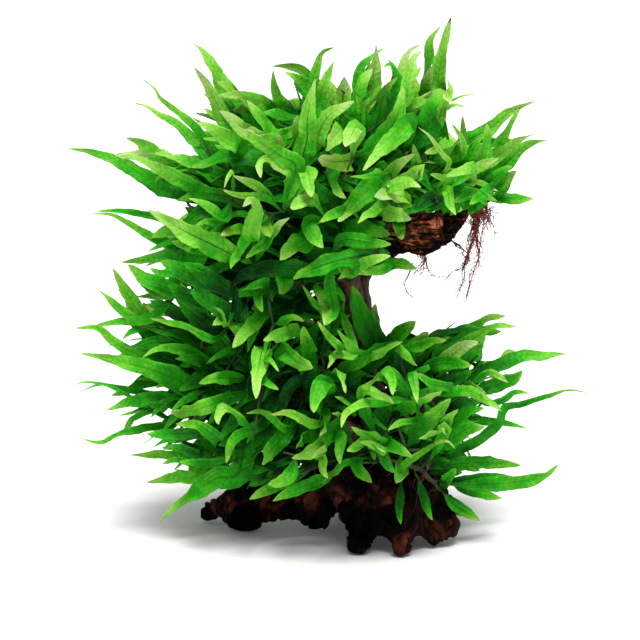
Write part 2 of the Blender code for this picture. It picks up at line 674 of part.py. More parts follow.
def make_rhizomes(skin, parts, crowd, finish):
    """Creeping stems, each lying on its limb, and the growth sites along them."""
    made, sites = {}, []
    for name, (limb, side, start, end) in RHIZOMES.items():
        side = Vector(side).normalized()
        centres, radii = limb_path(LIMBS[limb], RHIZOME_STEP)
        first, last = round(start * (len(centres) - 1)), round(end * (len(centres) - 1))
        lying = []
        for i in range(first, last + 1):
            wander = side.copy()
            sway = Vector((RHIZOME_WANDER * math.sin(WANDER_TURN * i), 0, 1))
            wander.rotate(Vector((0, 0, 1)).rotation_difference(sway))
            hit = skin.ray_cast(centres[i] + wander * SKIN_REACH * radii[i], -wander)[0]
            hit = hit or skin.find_nearest(centres[i] + wander * radii[i])[0]
            lying.append((hit, wander))
        lift = RHIZOME_RADIUS + TOUCH_GAP
        while True:
            path = smooth_path([hit + out * lift for hit, out in lying], RHIZOME_STEP)
            radii = [RHIZOME_RADIUS] * (len(path) - 1) + [RHIZOME_RADIUS * 0.5]
            mesh = tube_mesh(name, path, radii, RHIZOME_SIDES, parts)
            if not crowd.meets(*mesh_lists(mesh)):
                break
            lift += TOUCH_GAP
        made[name] = add_object(name, mesh, parts, finish)
        crowd.add_mesh(name, mesh)
        for place in smooth_path(path, SITE_STEP):
            out = min(lying, key=lambda pair: (pair[0] - place).length)[1]
            sites.append({"rhizome": name, "place": place, "out": out, "leaves": 0})
    return made, sites


def leaf_curve(root, out, middle, tip):
    """A smooth line that leaves the rhizome outwards, passes middle at 0.6 and ends at the tip."""
    first, second = middle - root, tip - middle
    leaving = (out + first.normalized() * LEAVES_OUTWARDS).normalized() * first.length
    passing = (tip - root).normalized()
    ending = (second * (1 + TIP_CURL) - passing * second.length * TIP_CURL).normalized()

    def at(s):
        if s < BEND:
            start, end, u = root, middle, s / BEND
            away, towards = leaving, passing * first.length
        else:
            start, end, u = middle, tip, (s - BEND) / (1 - BEND)
            away, towards = passing * second.length, ending * second.length
        rise = u * u * (3 - 2 * u)
        return start + (end - start) * rise + away * (u * (1 - u) ** 2) - towards * (u * u * (1 - u))

    return at


def leaf_shape(root, out, middle, tip, width, face, facing, extra=0.0):
    """Points and faces of one leaf: three-cornered ribs, flat above the midrib and closed at both ends."""
    at = leaf_curve(root, out, middle, tip)
    chord = (tip - root).normalized()
    level = Vector((0, 0, 1)) - chord * chord.z
    if level.length < UPRIGHT:
        level = level + Vector((-out.x, -out.y, 0.3)) * UPRIGHT_LEAN
    level.normalize()
    towards = facing - chord * facing.dot(chord)
    towards = towards.normalized() if towards.length > HEAD_ON else level
    upper = (level * (1 - face) + towards * face).normalized()
    ribs = next(rows for longest, rows in LEAF_RIBS if (tip - root).length < longest)
    points = []
    for s, share in ribs:
        along = (at(s + SLOPE_STEP) - at(max(0, s - SLOPE_STEP))).normalized()
        side = along.cross(upper).normalized()
        normal = side.cross(along)
        half = share * width / 2 + extra
        keel = LEAF_THICKNESS * (1 - 0.5 * s) + extra
        centre = at(s) + normal * extra
        points += [centre - side * half, centre + side * half, at(s) - normal * keel]
    points.append(tip + (tip - at(0.97)).normalized() * extra)
    apex = len(points) - 1
    faces = [(0, 1, 2)]
    for corner in range(0, apex - RIB, RIB):
        for i in range(RIB):
            a, b = corner + i, corner + (i + 1) % RIB
            faces += [(a, a + RIB, b), (b, a + RIB, b + RIB)]
    faces += [(apex - RIB + i, apex, apex - RIB + (i + 1) % RIB) for i in range(RIB)]
    return points, faces


def ribs_cross(points):
    """True where a leaf bends so sharply that two of its ribs run through each other."""
    ribs = [points[i:i + RIB] for i in range(0, len(points) - 1, RIB)]
    for before, after in zip(ribs, ribs[1:] + [[points[-1]] * RIB]):
        ahead = sum(after, Vector()) - sum(before, Vector())
        if any((b - a).dot(ahead) <= 0 for a, b in zip(before, after)):
            return True
    return False


def leaf_mesh(name, points, faces):
    bm = bmesh.new()
    corners = [bm.verts.new(p) for p in points]
    for face in faces:
        bm.faces.new([corners[i] for i in face])
    return mesh_from(bm, name)


def mass_depth(point):
    """Half the depth of the leafy mass at this place."""
    centre, half = MASSES["upper" if point.z > MASS_BORDER else "lower"]
    across = (point.x / MM - centre[0]) / half[0]
    up = (point.z / MM - centre[2]) / half[2]
    return half[1] * MM * math.sqrt(max(MASS_RIM, 1 - across**2 - up**2))


def best_sites(sites, middle, tip):
    """The free growth sites, those first that the leaf's own line points back to."""
    back = tip + (middle - tip) / (1 - BEND)

    def cost(site):
        reach = (site["place"] - tip).length
        turn = 1 - (middle - site["place"]).normalized().dot(site["out"])
        apart = (site["place"] - back).length
        return apart + TURN_COST * turn + CROWD_COST * site["leaves"] + FAR_COST * max(0.0, reach - FAR)

    free = [site for site in sites if site["leaves"] < SITE_LEAVES]
    return sorted(free, key=cost)


def try_leaf(crowd, sites, pixels, width, face, depth, fused):
    """Finds a site and a depth at which the leaf shown at these pixels runs into nothing."""
    tip_pixel, middle_pixel = pixels
    for most, shift in itertools.product(SITES_TRIED, DEPTH_SHIFTS):
        tip = seen(tip_pixel, depth + shift * MM)
        for site in best_sites(sites, seen(middle_pixel, BEND * depth), tip)[:most]:
            middle = seen(middle_pixel, site["place"].y + (tip.y - site["place"].y) * MIDDLE_DEPTH)
            lift = 0.0 if fused else RHIZOME_RADIUS + TOUCH_GAP
            direct = (middle - site["place"]).normalized()
            out = (site["out"] * LEAVES_OUTWARDS + direct).normalized()
            root = site["place"] + out * lift
            facing = Vector((0, -1, 0))
            wide = leaf_shape(root, out, middle, tip, width, face, facing, LEAF_CLEARANCE)
            if ribs_cross(wide[0]) or crowd.meets(*wide, but=(site["rhizome"],)):
                continue
            exact = leaf_shape(root, out, middle, tip, width, face, facing)
            if not fused and crowd.meets(*exact):
                continue
            return site, exact
    return None


def make_leaves(parts, cutters, rhizomes, sites, crowd, leaf_finish):
    """Outline leaves as pieces of their own, then small and hidden leaves, fused to their rhizomes."""
    lost = []
    for group, rows in OUTLINE_LEAVES.items():
        for number, (tip, middle, width, face, depth) in enumerate(rows, 1):
            name = f"{group}_{number}"
            found = try_leaf(crowd, sites, (tip, middle), width * MM, face, depth * MM, fused=False)
            if not found:
                lost.append(name)
                continue
            site, shape = found
            site["leaves"] += 1
            add_object(name, leaf_mesh(name, *shape), parts, leaf_finish)
            crowd.add(name, *shape)
    grown = {name: [] for name in rhizomes}
    for tip, middle, width, face, share in SMALL_LEAVES:
        depth = -share * mass_depth(seen(tip, 0.0))
        found = try_leaf(crowd, sites, (tip, middle), width * MM, face, depth, fused=True)
        if not found:
            lost.append(str(tip))
            continue
        site, shape = found
        site["leaves"] += 1
        grown[site["rhizome"]].append(shape)
        crowd.add("leaf of " + site["rhizome"], *shape)
    dice = random.Random(SEED)
    for name, (count, bearings, rises) in HIDDEN_LEAVES.items():
        grown[name] += hidden_leaves(dice, crowd, sites, name, count, bearings, rises)
    print("leaves that found no room:", len(lost), lost)
    for name, shapes in grown.items():
        grow_leaves(rhizomes[name], shapes, cutters)
    print("fused leaves:", sum(map(len, grown.values())))


def is_closed(mesh):
    sides = {}
    for polygon in mesh.polygons:
        for key in polygon.edge_keys:
            sides[key] = sides.get(key, 0) + 1
    return all(count == 2 for count in sides.values())


def grow_leaves(rhizome, shapes, cutters):
    """Fuses the leaves to their rhizome at once, or one by one where that would leave a slit."""
    bare = rhizome.data.copy()
    fuse_blades(rhizome, shapes, cutters, "EXACT")
    if not is_closed(rhizome.data):
        rhizome.data = bare.copy()
        for shape in shapes:
            fuse_blades(rhizome, [shape], cutters, "MANIFOLD")
    bpy.data.meshes.remove(bare)


def fuse_blades(rhizome, shapes, cutters, solver):
    bm = bmesh.new()
    for points, faces in shapes:
        corners = [bm.verts.new(p) for p in points]
        for face in faces:
            bm.faces.new([corners[i] for i in face])
    blades = add_object("blades", mesh_from(bm, "blades"), cutters)
    boolean(rhizome, blades, "UNION", solver, among_itself=solver == "EXACT")
    bpy.data.objects.remove(blades)


def hidden_leaves(dice, crowd, sites, name, count, bearings, rises):
    """Leaves of the back and sides, aimed by bearing and rise and cut to the leafy mass."""
    shapes = []
    own = [site for site in sites if site["rhizome"] == name]
    for _ in range(count * HIDDEN_TRIES):
        if len(shapes) == count:
            break
        site = min(dice.sample(own, 3), key=lambda s: s["leaves"])
        bearing = math.radians(dice.uniform(*bearings))
        rise = math.radians(dice.uniform(*rises))
        level = math.cos(rise)
        aim = Vector((math.cos(bearing) * level, math.sin(bearing) * level, math.sin(rise)))
        centre, half = MASSES["upper" if site["place"].z > MASS_BORDER else "lower"]
        length = reach_in_mass(site["place"], aim, centre, half) * dice.uniform(*HIDDEN_SHORTFALL)
        length = min(length, dice.uniform(*HIDDEN_LENGTHS))
        tip = site["place"] + aim * length
        middle = site["place"] + (aim * BEND + Vector((0, 0, HIDDEN_ARCH))) * length
        shown = inside_outline(photo_pixel(tip)) and inside_outline(photo_pixel(middle))
        if length < SHORTEST_HIDDEN or tip.z < FLOOR_ROOM or not shown:
            continue
        width = dice.uniform(*HIDDEN_WIDTHS)
        face = dice.uniform(*HIDDEN_FACES)
        facing = Vector((aim.x, aim.y, 0)).normalized()
        out = (site["out"] + aim).normalized()
        args = (site["place"], out, middle, tip, width, face, facing)
        wide = leaf_shape(*args, LEAF_CLEARANCE)
        if ribs_cross(wide[0]) or crowd.meets(*wide, but=(name,)):
            continue
        shape = leaf_shape(*args)
        shapes.append(shape)
        site["leaves"] += 1
        crowd.add("leaf of " + name, *shape)
    return shapes


def reach_in_mass(start, aim, centre, half):
    """Distance from start along aim to the surface of a leafy mass."""
    travelled = 0.0
    while travelled < MASS_REACH:
        place = (start + aim * travelled) / MM
        if sum(((place[i] - centre[i]) / half[i]) ** 2 for i in range(3)) > 1:
            break
        travelled += MASS_STEP
    return travelled


def make_roots(parts, cutters, crowd, finish):
    """Bundles of hanging roots, their strands fused at the top."""
    for name, strands in ROOT_BUNDLES.items():
        bundle = None
        for pixels, depths, thick in strands:
            stops = [seen(pixel, depth * MM) for pixel, depth in zip(pixels, depths)]
            path = smooth_path(stops, STRAND_STEP)
            radii = [thick * MM * (1 - STRAND_TAPER * i / (len(path) - 1)) for i in range(len(path))]
            mesh = tube_mesh(name, path, radii, STRAND_SIDES, cutters)
            if bundle is None:
                bundle = add_object(name, mesh, parts, finish)
                continue
            strand = add_object("strand", mesh, cutters)
            boolean(bundle, strand, "UNION")
            bpy.data.objects.remove(strand)
        while crowd.meets(*mesh_lists(bundle.data)):
            for vertex in bundle.data.vertices:
                vertex.co += millimetres(ROOT_STEP_ASIDE)
        crowd.add_mesh(name, bundle.data)


def centre_on_box(parts):
    """Puts the origin under the middle of the part's box."""
    spots = [v.co for obj in parts.objects for v in obj.data.vertices]
    shift = Vector([-(min(s[i] for s in spots) + max(s[i] for s in spots)) / 2 for i in range(2)] + [0.0])
    for obj in parts.objects:
        for vertex in obj.data.vertices:
            vertex.co += shift
    print("moved to the middle by, mm:", [round(x / MM, 2) for x in shift])


def main():
    clear_scene()
    parts = collection("java_fern_on_driftwood")
    cutters = collection("cutters")
    bark = material("driftwood", WOOD_COLOUR, 0.8)
    stem = material("rhizome", RHIZOME_COLOUR, 0.6)
    green = material("leaf", LEAF_COLOUR, 0.4)
    fibre = material("root", ROOT_COLOUR, 0.7)

    wood, skin = make_driftwood(parts, cutters, bark)
    crowd = Crowd()
    for name, piece in wood.items():
        crowd.add_mesh(name, piece.data)
    rhizomes, sites = make_rhizomes(skin, parts, crowd, stem)
    make_roots(parts, cutters, crowd, fibre)
    make_leaves(parts, cutters, rhizomes, sites, crowd, green)
    centre_on_box(parts)
    for helper in cutters.objects:
        hide_helper(helper)


main()
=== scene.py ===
import itertools
import math
import random

import bmesh
import bpy
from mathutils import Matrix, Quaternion, Vector
from mathutils.bvhtree import BVHTree
from mathutils.kdtree import KDTree


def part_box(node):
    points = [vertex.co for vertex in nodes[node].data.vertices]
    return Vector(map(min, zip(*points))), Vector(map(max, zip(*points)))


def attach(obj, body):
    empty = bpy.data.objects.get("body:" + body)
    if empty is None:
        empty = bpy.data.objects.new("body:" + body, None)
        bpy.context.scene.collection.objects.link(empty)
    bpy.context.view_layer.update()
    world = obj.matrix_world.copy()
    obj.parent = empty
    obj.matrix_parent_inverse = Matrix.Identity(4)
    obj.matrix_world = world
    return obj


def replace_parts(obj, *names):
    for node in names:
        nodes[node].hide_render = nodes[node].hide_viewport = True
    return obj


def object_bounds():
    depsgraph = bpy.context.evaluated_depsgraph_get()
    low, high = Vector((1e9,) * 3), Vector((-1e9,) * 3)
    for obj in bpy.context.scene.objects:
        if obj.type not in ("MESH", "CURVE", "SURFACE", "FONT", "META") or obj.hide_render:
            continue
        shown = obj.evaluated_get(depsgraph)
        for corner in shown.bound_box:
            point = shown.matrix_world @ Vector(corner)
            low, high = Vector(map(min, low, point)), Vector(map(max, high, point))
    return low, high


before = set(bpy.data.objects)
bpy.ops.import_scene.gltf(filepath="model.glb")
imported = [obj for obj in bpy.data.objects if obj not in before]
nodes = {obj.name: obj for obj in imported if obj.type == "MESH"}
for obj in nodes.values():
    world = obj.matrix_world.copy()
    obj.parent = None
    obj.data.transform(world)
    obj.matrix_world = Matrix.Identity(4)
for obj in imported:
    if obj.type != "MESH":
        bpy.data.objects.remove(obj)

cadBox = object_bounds()
print("frame loaded:", len(nodes), "nodes")


# Node tree helpers

# what a node of a tree gives: sums written with it make the tree's maths nodes
class Value:
    def __init__(self, tree, socket):
        self.tree = tree
        self.socket = socket

    def __abs__(self):
        return maths("ABSOLUTE", self)

    def __add__(self, other):
        return maths("ADD", self, other)

    def __sub__(self, other):
        return maths("SUBTRACT", self, other)

    def __rsub__(self, other):
        return maths("SUBTRACT", other, self)

    def __mul__(self, other):
        return maths("MULTIPLY", self, other)

    def __truediv__(self, other):
        return maths("DIVIDE", self, other)

    def __rtruediv__(self, other):
        return maths("DIVIDE", other, self)

    def __pow__(self, other):
        return maths("POWER", self, other)

    # the sum that was just written, kept between 0 and 1
    def clamped(self):
        self.socket.node.use_clamp = True
        return self


def addNode(tree, kind, **settings):
    node = tree.nodes.new(kind)
    for name, value in settings.items():
        setattr(node, name, value)
    return node


# a socket takes another node's value, or a plain one
def feed(socket, value):
    if isinstance(value, Value):
        value.tree.links.new(value.socket, socket)
    else:
        socket.default_value = value


# a new node's output, with the inputs fed by name or number
def outcome(tree, kind, inputs, output=0, **settings):
    node = addNode(tree, kind, **settings)
    for name, value in inputs.items():
        feed(node.inputs[name], value)
    return Value(tree, node.outputs[output])


def maths(operation, *values):
    tree = next(value.tree for value in values if isinstance(value, Value))
    return outcome(tree, "ShaderNodeMath", dict(enumerate(values)), operation=operation)


def vectorMaths(operation, *vectors):
    return outcome(vectors[0].tree, "ShaderNodeVectorMath", dict(enumerate(vectors)), operation=operation)


def scaled(vector, amount):
    return outcome(vector.tree, "ShaderNodeVectorMath", {0: vector, "Scale": amount}, operation="SCALE")


def axesOf(vector):
    split = addNode(vector.tree, "ShaderNodeSeparateXYZ")
    feed(split.inputs[0], vector)
    return [Value(vector.tree, output) for output in split.outputs]


# 0 below low and 1 above high, or the other way round
def step(value, low, high):
    return outcome(value.tree, "ShaderNodeMapRange", {"Value": value, "From Min": low, "From Max": high},
                   "Result", interpolation_type="SMOOTHSTEP")


# a Geometry Nodes tree and the values of its named inputs
def newGeometryTree(name, inputs):
    tree = bpy.data.node_groups.new(name, "GeometryNodeTree")
    tree.interface.new_socket(name="Geometry", in_out="OUTPUT", socket_type="NodeSocketGeometry")
    for label, kind in {"Geometry": "Geometry", **inputs}.items():
        tree.interface.new_socket(name=label, in_out="INPUT", socket_type="NodeSocket" + kind)
    groupIn = addNode(tree, "NodeGroupInput")
    return tree, {label: Value(tree, groupIn.outputs[label]) for label in ("Geometry", *inputs)}


def attribute(tree, name, kind="FLOAT"):
    return outcome(tree, "GeometryNodeInputNamedAttribute", {"Name": name}, "Attribute", data_type=kind)


# stores a named attribute on the points and gives the geometry back
def keep(geometry, name, value, kind="FLOAT"):
    return outcome(geometry.tree, "GeometryNodeStoreNamedAttribute",
                   {"Geometry": geometry, "Name": name, "Value": value}, data_type=kind, domain="POINT")


# smooth shading, realized instances and the material, as every tree here ends
def endTree(given, geometry):
    tree = geometry.tree
    smooth = outcome(tree, "GeometryNodeSetShadeSmooth", {"Geometry": geometry})
    whole = outcome(tree, "GeometryNodeRealizeInstances", {"Geometry": smooth})
    painted = outcome(tree, "GeometryNodeSetMaterial", {"Geometry": whole, "Material": given["Material"]})
    feed(addNode(tree, "NodeGroupOutput").inputs[0], painted)


def evaluatedMesh(obj):
    bpy.context.view_layer.update()
    graph = bpy.context.evaluated_depsgraph_get()
    return bpy.data.meshes.new_from_object(obj.evaluated_get(graph))


def linkObject(name, data):
    obj = bpy.data.objects.new(name, data)
    bpy.context.scene.collection.objects.link(obj)
    return obj


def newMesh(name, bm):
    mesh = bpy.data.meshes.new(name)
    bm.to_mesh(mesh)
    bm.free()
    return mesh


def addAttributes(mesh, columns):
    for label, values in columns.items():
        isVector = any(isinstance(value, Vector) for value in values[:1])
        layer = mesh.attributes.new(label, "FLOAT_VECTOR" if isVector else "FLOAT", "POINT")
        if isVector:
            layer.data.foreach_set("vector", [number for vector in values for number in vector])
        else:
            layer.data.foreach_set("value", values)


# runs a tree on a mesh and gives a plain mesh object with the result
def growWith(tree, mesh, name, values, finish):
    piece = linkObject(name, mesh)
    modifier = piece.modifiers.new(name, "NODES")
    modifier.node_group = tree
    values = {**values, "Material": finish}
    for item in tree.interface.items_tree:
        if item.in_out == "INPUT" and item.name in values:
            modifier[item.identifier] = values[item.name]
    grown = evaluatedMesh(piece)
    grown.name = name
    piece.modifiers.clear()
    piece.data = grown
    return piece


# a mesh fused to one skin of even faces, softened
def remeshed(mesh, voxel, softening):
    skin = linkObject("skin", mesh)
    fused = skin.modifiers.new("fused", "REMESH")
    fused.mode = "VOXEL"
    fused.voxel_size = voxel
    soft = skin.modifiers.new("soft", "SMOOTH")
    soft.factor = 0.5
    soft.iterations = softening
    smooth = evaluatedMesh(skin)
    bpy.data.objects.remove(skin)
    return smooth


# Camera, light and floor

studio = {
    "aim": Vector((-0.00537, 0.00325, 0.16778)),  # point of the part behind the photograph's middle
    "distance": 2.4,
    "tilt": math.radians(13),
    "pixel": 0.00075,  # metres of the part that one photograph pixel covers
    "imageWidth": 640,
    "sensorWidth": 36,
    "sunStrength": 4.6,
    "sunSoftness": math.radians(26),
    "sunTurn": (math.radians(17), math.radians(4), math.radians(-4)),
    "skyStrength": 0.58,
    "floorSize": 14,
    "floorColour": (0.80, 0.80, 0.79, 1),
    "floorRoughness": 0.9,
}
ahead = Vector((0, math.cos(studio["tilt"]), -math.sin(studio["tilt"])))
upwards = Vector((0, math.sin(studio["tilt"]), math.cos(studio["tilt"])))
eyePoint = studio["aim"] - ahead * studio["distance"]


def newMaterial(name, roughness):
    paint = bpy.data.materials.new(name)
    paint.use_nodes = True
    shader = paint.node_tree.nodes["Principled BSDF"]
    shader.inputs["Roughness"].default_value = roughness
    return paint, paint.node_tree, shader


def makeStudio():
    scene = bpy.context.scene
    eye = bpy.data.cameras.new("camera")
    eye.sensor_width = studio["sensorWidth"]
    eye.lens = studio["sensorWidth"] * studio["distance"] / (studio["imageWidth"] * studio["pixel"])
    eye.clip_start, eye.clip_end = 0.05, 60
    camera = linkObject("camera", eye)
    camera.location = eyePoint
    camera.rotation_euler = (math.pi / 2 - studio["tilt"], 0, 0)
    scene.camera = camera

    sun = bpy.data.lights.new("sun", "SUN")
    sun.energy = studio["sunStrength"]
    sun.angle = studio["sunSoftness"]
    linkObject("sun", sun).rotation_euler = studio["sunTurn"]

    world = bpy.data.worlds.new("studio")
    world.use_nodes = True
    tree = world.node_tree
    sky = tree.nodes["Background"]
    sky.inputs["Color"].default_value = (1, 1, 1, 1)
    seen = outcome(tree, "ShaderNodeLightPath", {}, "Is Camera Ray")
    feed(sky.inputs["Strength"], maths("MAXIMUM", seen, studio["skyStrength"]))
    scene.world = world
    scene.view_settings.view_transform = "Standard"

    bm = bmesh.new()
    bmesh.ops.create_circle(bm, cap_ends=True, segments=96, radius=studio["floorSize"])
    floor = linkObject("floor", newMesh("floor", bm))
    paint, tree, shader = newMaterial("floor", studio["floorRoughness"])
    shader.inputs["Base Color"].default_value = studio["floorColour"]
    floor.data.materials.append(paint)
    print("studio made")


# the point at this depth (Y) that the photograph shows at the pixel
def seenPoint(pixel, depth):
    middle = studio["imageWidth"] / 2
    across = (pixel[0] - middle) * studio["pixel"]
    rise = (middle - pixel[1]) * studio["pixel"]
    ray = studio["aim"] + Vector((across, 0, 0)) + upwards * rise - eyePoint
    return eyePoint + ray * ((depth - eyePoint.y) / ray.y)


def photoPixel(point):
    spot = point - studio["aim"]
    scale = studio["distance"] / (studio["distance"] + spot.dot(ahead)) / studio["pixel"]
    middle = studio["imageWidth"] / 2
    return middle + spot.x * scale, middle - spot.dot(upwards) * scale


makeStudio()


# Materials

# a colour ramp from (place, colour) pairs
def ramp(factor, stops):
    node = addNode(factor.tree, "ShaderNodeValToRGB")
    elements = node.color_ramp.elements
    while len(elements) < len(stops):
        elements.new(0.5)
    for element, (place, colour) in zip(elements, stops):
        element.position = place
        element.color = (*colour, 1)
    feed(node.inputs["Fac"], factor)
    return Value(factor.tree, node.outputs["Color"])


# the first colour, with the second over it as strongly as the factor says
def blendColours(factor, first, second, kind="MIX"):
    if isinstance(second, tuple):
        second = (*second, 1)
    return outcome(first.tree, "ShaderNodeMix", {"Factor": factor, "A": first, "B": second}, "Result",
                   data_type="RGBA", blend_type=kind)


def noiseFor(vector, scale, detail=4.0, roughness=0.55):
    return outcome(vector.tree, "ShaderNodeTexNoise", {
        "Vector": vector, "Scale": scale, "Detail": detail, "Roughness": roughness}, "Fac")


# noise drawn out along an axis: the more, the smaller its number
def streaksFor(vector, sizes, detail, roughness=0.55):
    return noiseFor(vectorMaths("MULTIPLY", vector, sizes), 1.0, detail, roughness)


def attributeValue(tree, name, output="Fac"):
    return outcome(tree, "ShaderNodeAttribute", {}, output, attribute_type="GEOMETRY", attribute_name=name)


def objectPlace(tree):
    return outcome(tree, "ShaderNodeTexCoord", {}, "Object")


def addBump(shader, height, strength, distance):
    bump = outcome(height.tree, "ShaderNodeBump", {
        "Strength": strength, "Distance": distance, "Height": height}, "Normal")
    feed(shader.inputs["Normal"], bump)


leafFinish = {
    "greens": [  # from the foot of an old leaf to the tip of a young one; the darkest stops also serve as painted shade, the palest as painted light through the blade
        (0.06, (0.0030, 0.029, 0.005)),
        (0.26, (0.0075, 0.130, 0.005)),
        (0.48, (0.022, 0.312, 0.006)),
        (0.68, (0.140, 0.455, 0.030)),
        (0.83, (0.280, 0.535, 0.085)),
        (1.00, (0.390, 0.570, 0.210)),
    ],
    "midrib": (0.004, 0.030, 0.004),
    "stalk": (0.022, 0.040, 0.010),
    "olive": (1.12, 0.97, 0.8),
    "brown": (0.035, 0.016, 0.006),
    "toneStrength": 0.63,
    "lighterAlong": 0.39,
    "lighterTip": 0.09,
    # pale margins: partly their own paleness, partly a painted highlight of light through the thin edge
    "paleMarginAndHighlight": 0.06,
    "darker": 0.03,
    "blotches": (48, 0.50),  # sizes and strengths of three kinds of mottling
    "streaks": ((34, 620, 60), 0.30),
    "specks": (320, 0.28),
    "veinSpacing": 0.0046,
    "veinSlant": 0.75,
    "veinStrength": 0.27,
    "netSize": 0.0034,
    "netStrength": 0.09,
    "oliveFrom": 0.82,  # share of the leaves that aren't olive
    "agedFrom": 0.955,  # share of the leaves without a brown tip
    "bump": (0.6, 0.0008),
    "roughness": 0.38,
    "gloss": 0.055,
}


# a number from 0 to 1 of the leaf's own, another for each factor
def leafChance(leafNumber, factor):
    return maths("FRACT", leafNumber * factor)


def makeLeafFinish():
    paint, tree, shader = newMaterial("fern leaf", leafFinish["roughness"])
    along, across, tone = (attributeValue(tree, name) for name in ("along", "across", "tone"))
    place = attributeValue(tree, "bladeMap", "Vector")
    side = abs(across)
    placeAlong, placeAcross, leafNumber = axesOf(place)

    blotchSize, blotchStrength = leafFinish["blotches"]
    streakSizes, streakStrength = leafFinish["streaks"]
    speckSize, speckStrength = leafFinish["specks"]
    blotches = noiseFor(place, blotchSize, 3)
    streaks = streaksFor(place, streakSizes, 3)
    specks = noiseFor(place, speckSize, 3)
    # the tone brings in painted shade deep in the plant and painted light at its top
    light = tone * leafFinish["toneStrength"] - leafFinish["darker"]
    light += along ** 1.4 * leafFinish["lighterAlong"] + step(along, 0.78, 1.0) * leafFinish["lighterTip"]
    light += (blotches - 0.5) * blotchStrength + (streaks - 0.5) * streakStrength
    # the margins lighter: partly a painted highlight
    light += (specks - 0.5) * speckStrength + side ** 6 * leafFinish["paleMarginAndHighlight"]
    colour = ramp(light, leafFinish["greens"])
    tinted = blendColours(1.0, colour, leafFinish["olive"], "MULTIPLY")
    olive = step(leafChance(leafNumber, 17.3), leafFinish["oliveFrom"], leafFinish["oliveFrom"] + 0.14)
    colour = blendColours(olive * 0.8, colour, tinted)

    # side veins slant outwards from the midrib, with a net of small ones between them
    slant = placeAlong - abs(placeAcross) * leafFinish["veinSlant"] + blotches * 0.004
    waves = maths("SINE", slant * (math.pi / leafFinish["veinSpacing"]))
    lateral = 1 - abs(waves) ** 0.35
    cells = outcome(tree, "ShaderNodeTexVoronoi", {"Vector": place, "Scale": 1 / leafFinish["netSize"]},
                    "Distance", feature="DISTANCE_TO_EDGE")
    net = (1 - cells * 9).clamped()
    veins = maths("MAXIMUM", lateral * leafFinish["veinStrength"], net * leafFinish["netStrength"])
    colour = blendColours(veins, colour, leafFinish["midrib"])

    marked = leafChance(leafNumber, 7.7) * 0.75 + 0.12
    rib = step(side, 0.085, 0.02) * marked * step(along, 0.98, 0.55)
    colour = blendColours(rib, colour, leafFinish["midrib"])
    colour = blendColours(step(along, 0.14, 0.02) * 0.85, colour, leafFinish["stalk"])
    aged = step(leafChance(leafNumber, 31.7), leafFinish["agedFrom"], leafFinish["agedFrom"] + 0.01)
    colour = blendColours(aged * step(along, 0.965, 0.99), colour, leafFinish["brown"])
    feed(shader.inputs["Base Color"], colour)

    height = specks * 0.5 + streaks * 0.5 - net * 0.2 - lateral * 0.5
    addBump(shader, height, *leafFinish["bump"])
    feed(shader.inputs["Roughness"], blotches * 0.3 + 0.26)
    shader.inputs["Specular IOR Level"].default_value = leafFinish["gloss"]
    return paint


woodFinish = {
    "black": (0.0006, 0.0002, 0.0002),
    "dark": (0.0075, 0.0024, 0.0014),
    "red": (0.050, 0.0115, 0.0055),
    "redRidgeAndHighlight": (0.090, 0.021, 0.010),
    "pale": (0.24, 0.100, 0.060),
    "greyDark": (0.040, 0.025, 0.017),
    "grey": (0.200, 0.132, 0.096),
    "armStops": [(0.44, (0.0006, 0.0002, 0.0001)), (0.52, (0.012, 0.0040, 0.0016)),
                 (0.60, (0.125, 0.031, 0.012)), (0.70, (0.68, 0.200, 0.095))],
    "uprightGrain": (420, 420, 50),
    "armGrain": (60, 380, 480),
    "bump": (0.8, 0.0013),
    "roughness": 0.7,
    "gloss": 0.035,
    "trunkFrom": (0.075, 0.105),  # heights between which the red root turns to the grey trunk
    "trunkTo": (0.215, 0.190),
}


def makeWoodFinish():
    paint, tree, shader = newMaterial("driftwood", woodFinish["roughness"])
    spot = objectPlace(tree)
    height = axesOf(spot)[2]
    onArm, paintedRidgeLight, hollow = (attributeValue(tree, name) for name in ("onArm", "paintedRidgeLight", "hollow"))

    upright = streaksFor(spot, woodFinish["uprightGrain"], 5, 0.6)
    lengthwise = streaksFor(spot, woodFinish["armGrain"], 5, 0.65)
    grain = outcome(tree, "ShaderNodeMix", {0: onArm, 2: upright, 3: lengthwise}, data_type="FLOAT")
    patches = noiseFor(spot, 42, 5, 0.62)
    specks = noiseFor(spot, 210, 4, 0.65)

    # the root's own reds and blacks, with painted highlights pushing the lit ridges to the redder colours
    root = ramp(patches * 0.72 + specks * 0.22 + grain * 0.22 + paintedRidgeLight * 0.17, [
        (0.50, woodFinish["black"]), (0.60, woodFinish["dark"]), (0.72, woodFinish["red"]),
        (0.86, woodFinish["redRidgeAndHighlight"]),
    ])
    trunk = ramp(grain * 0.8 + patches * 0.3, [
        (0.38, woodFinish["greyDark"]), (0.60, woodFinish["grey"]), (0.78, woodFinish["pale"]),
    ])
    onTrunk = step(height, *woodFinish["trunkFrom"]) * step(height, *woodFinish["trunkTo"])
    # the arm's lit ridges carry a painted highlight as well
    arm = ramp(grain * 0.72 + paintedRidgeLight * 0.12 - 0.31 + patches * 0.65 + specks * 0.22, woodFinish["armStops"])
    colour = blendColours(onArm, blendColours(onTrunk, root, trunk), arm)
    # painted shade: the cracks and rotted holes painted black
    colour = blendColours(hollow, colour, woodFinish["black"])
    feed(shader.inputs["Base Color"], colour)
    feed(shader.inputs["Roughness"], specks * 0.45 + 0.36)
    addBump(shader, grain * 0.9 + specks * 0.7, *woodFinish["bump"])
    shader.inputs["Specular IOR Level"].default_value = woodFinish["gloss"]
    return paint


stemFinish = {"young": (0.030, 0.085, 0.012), "old": (0.026, 0.016, 0.008)}


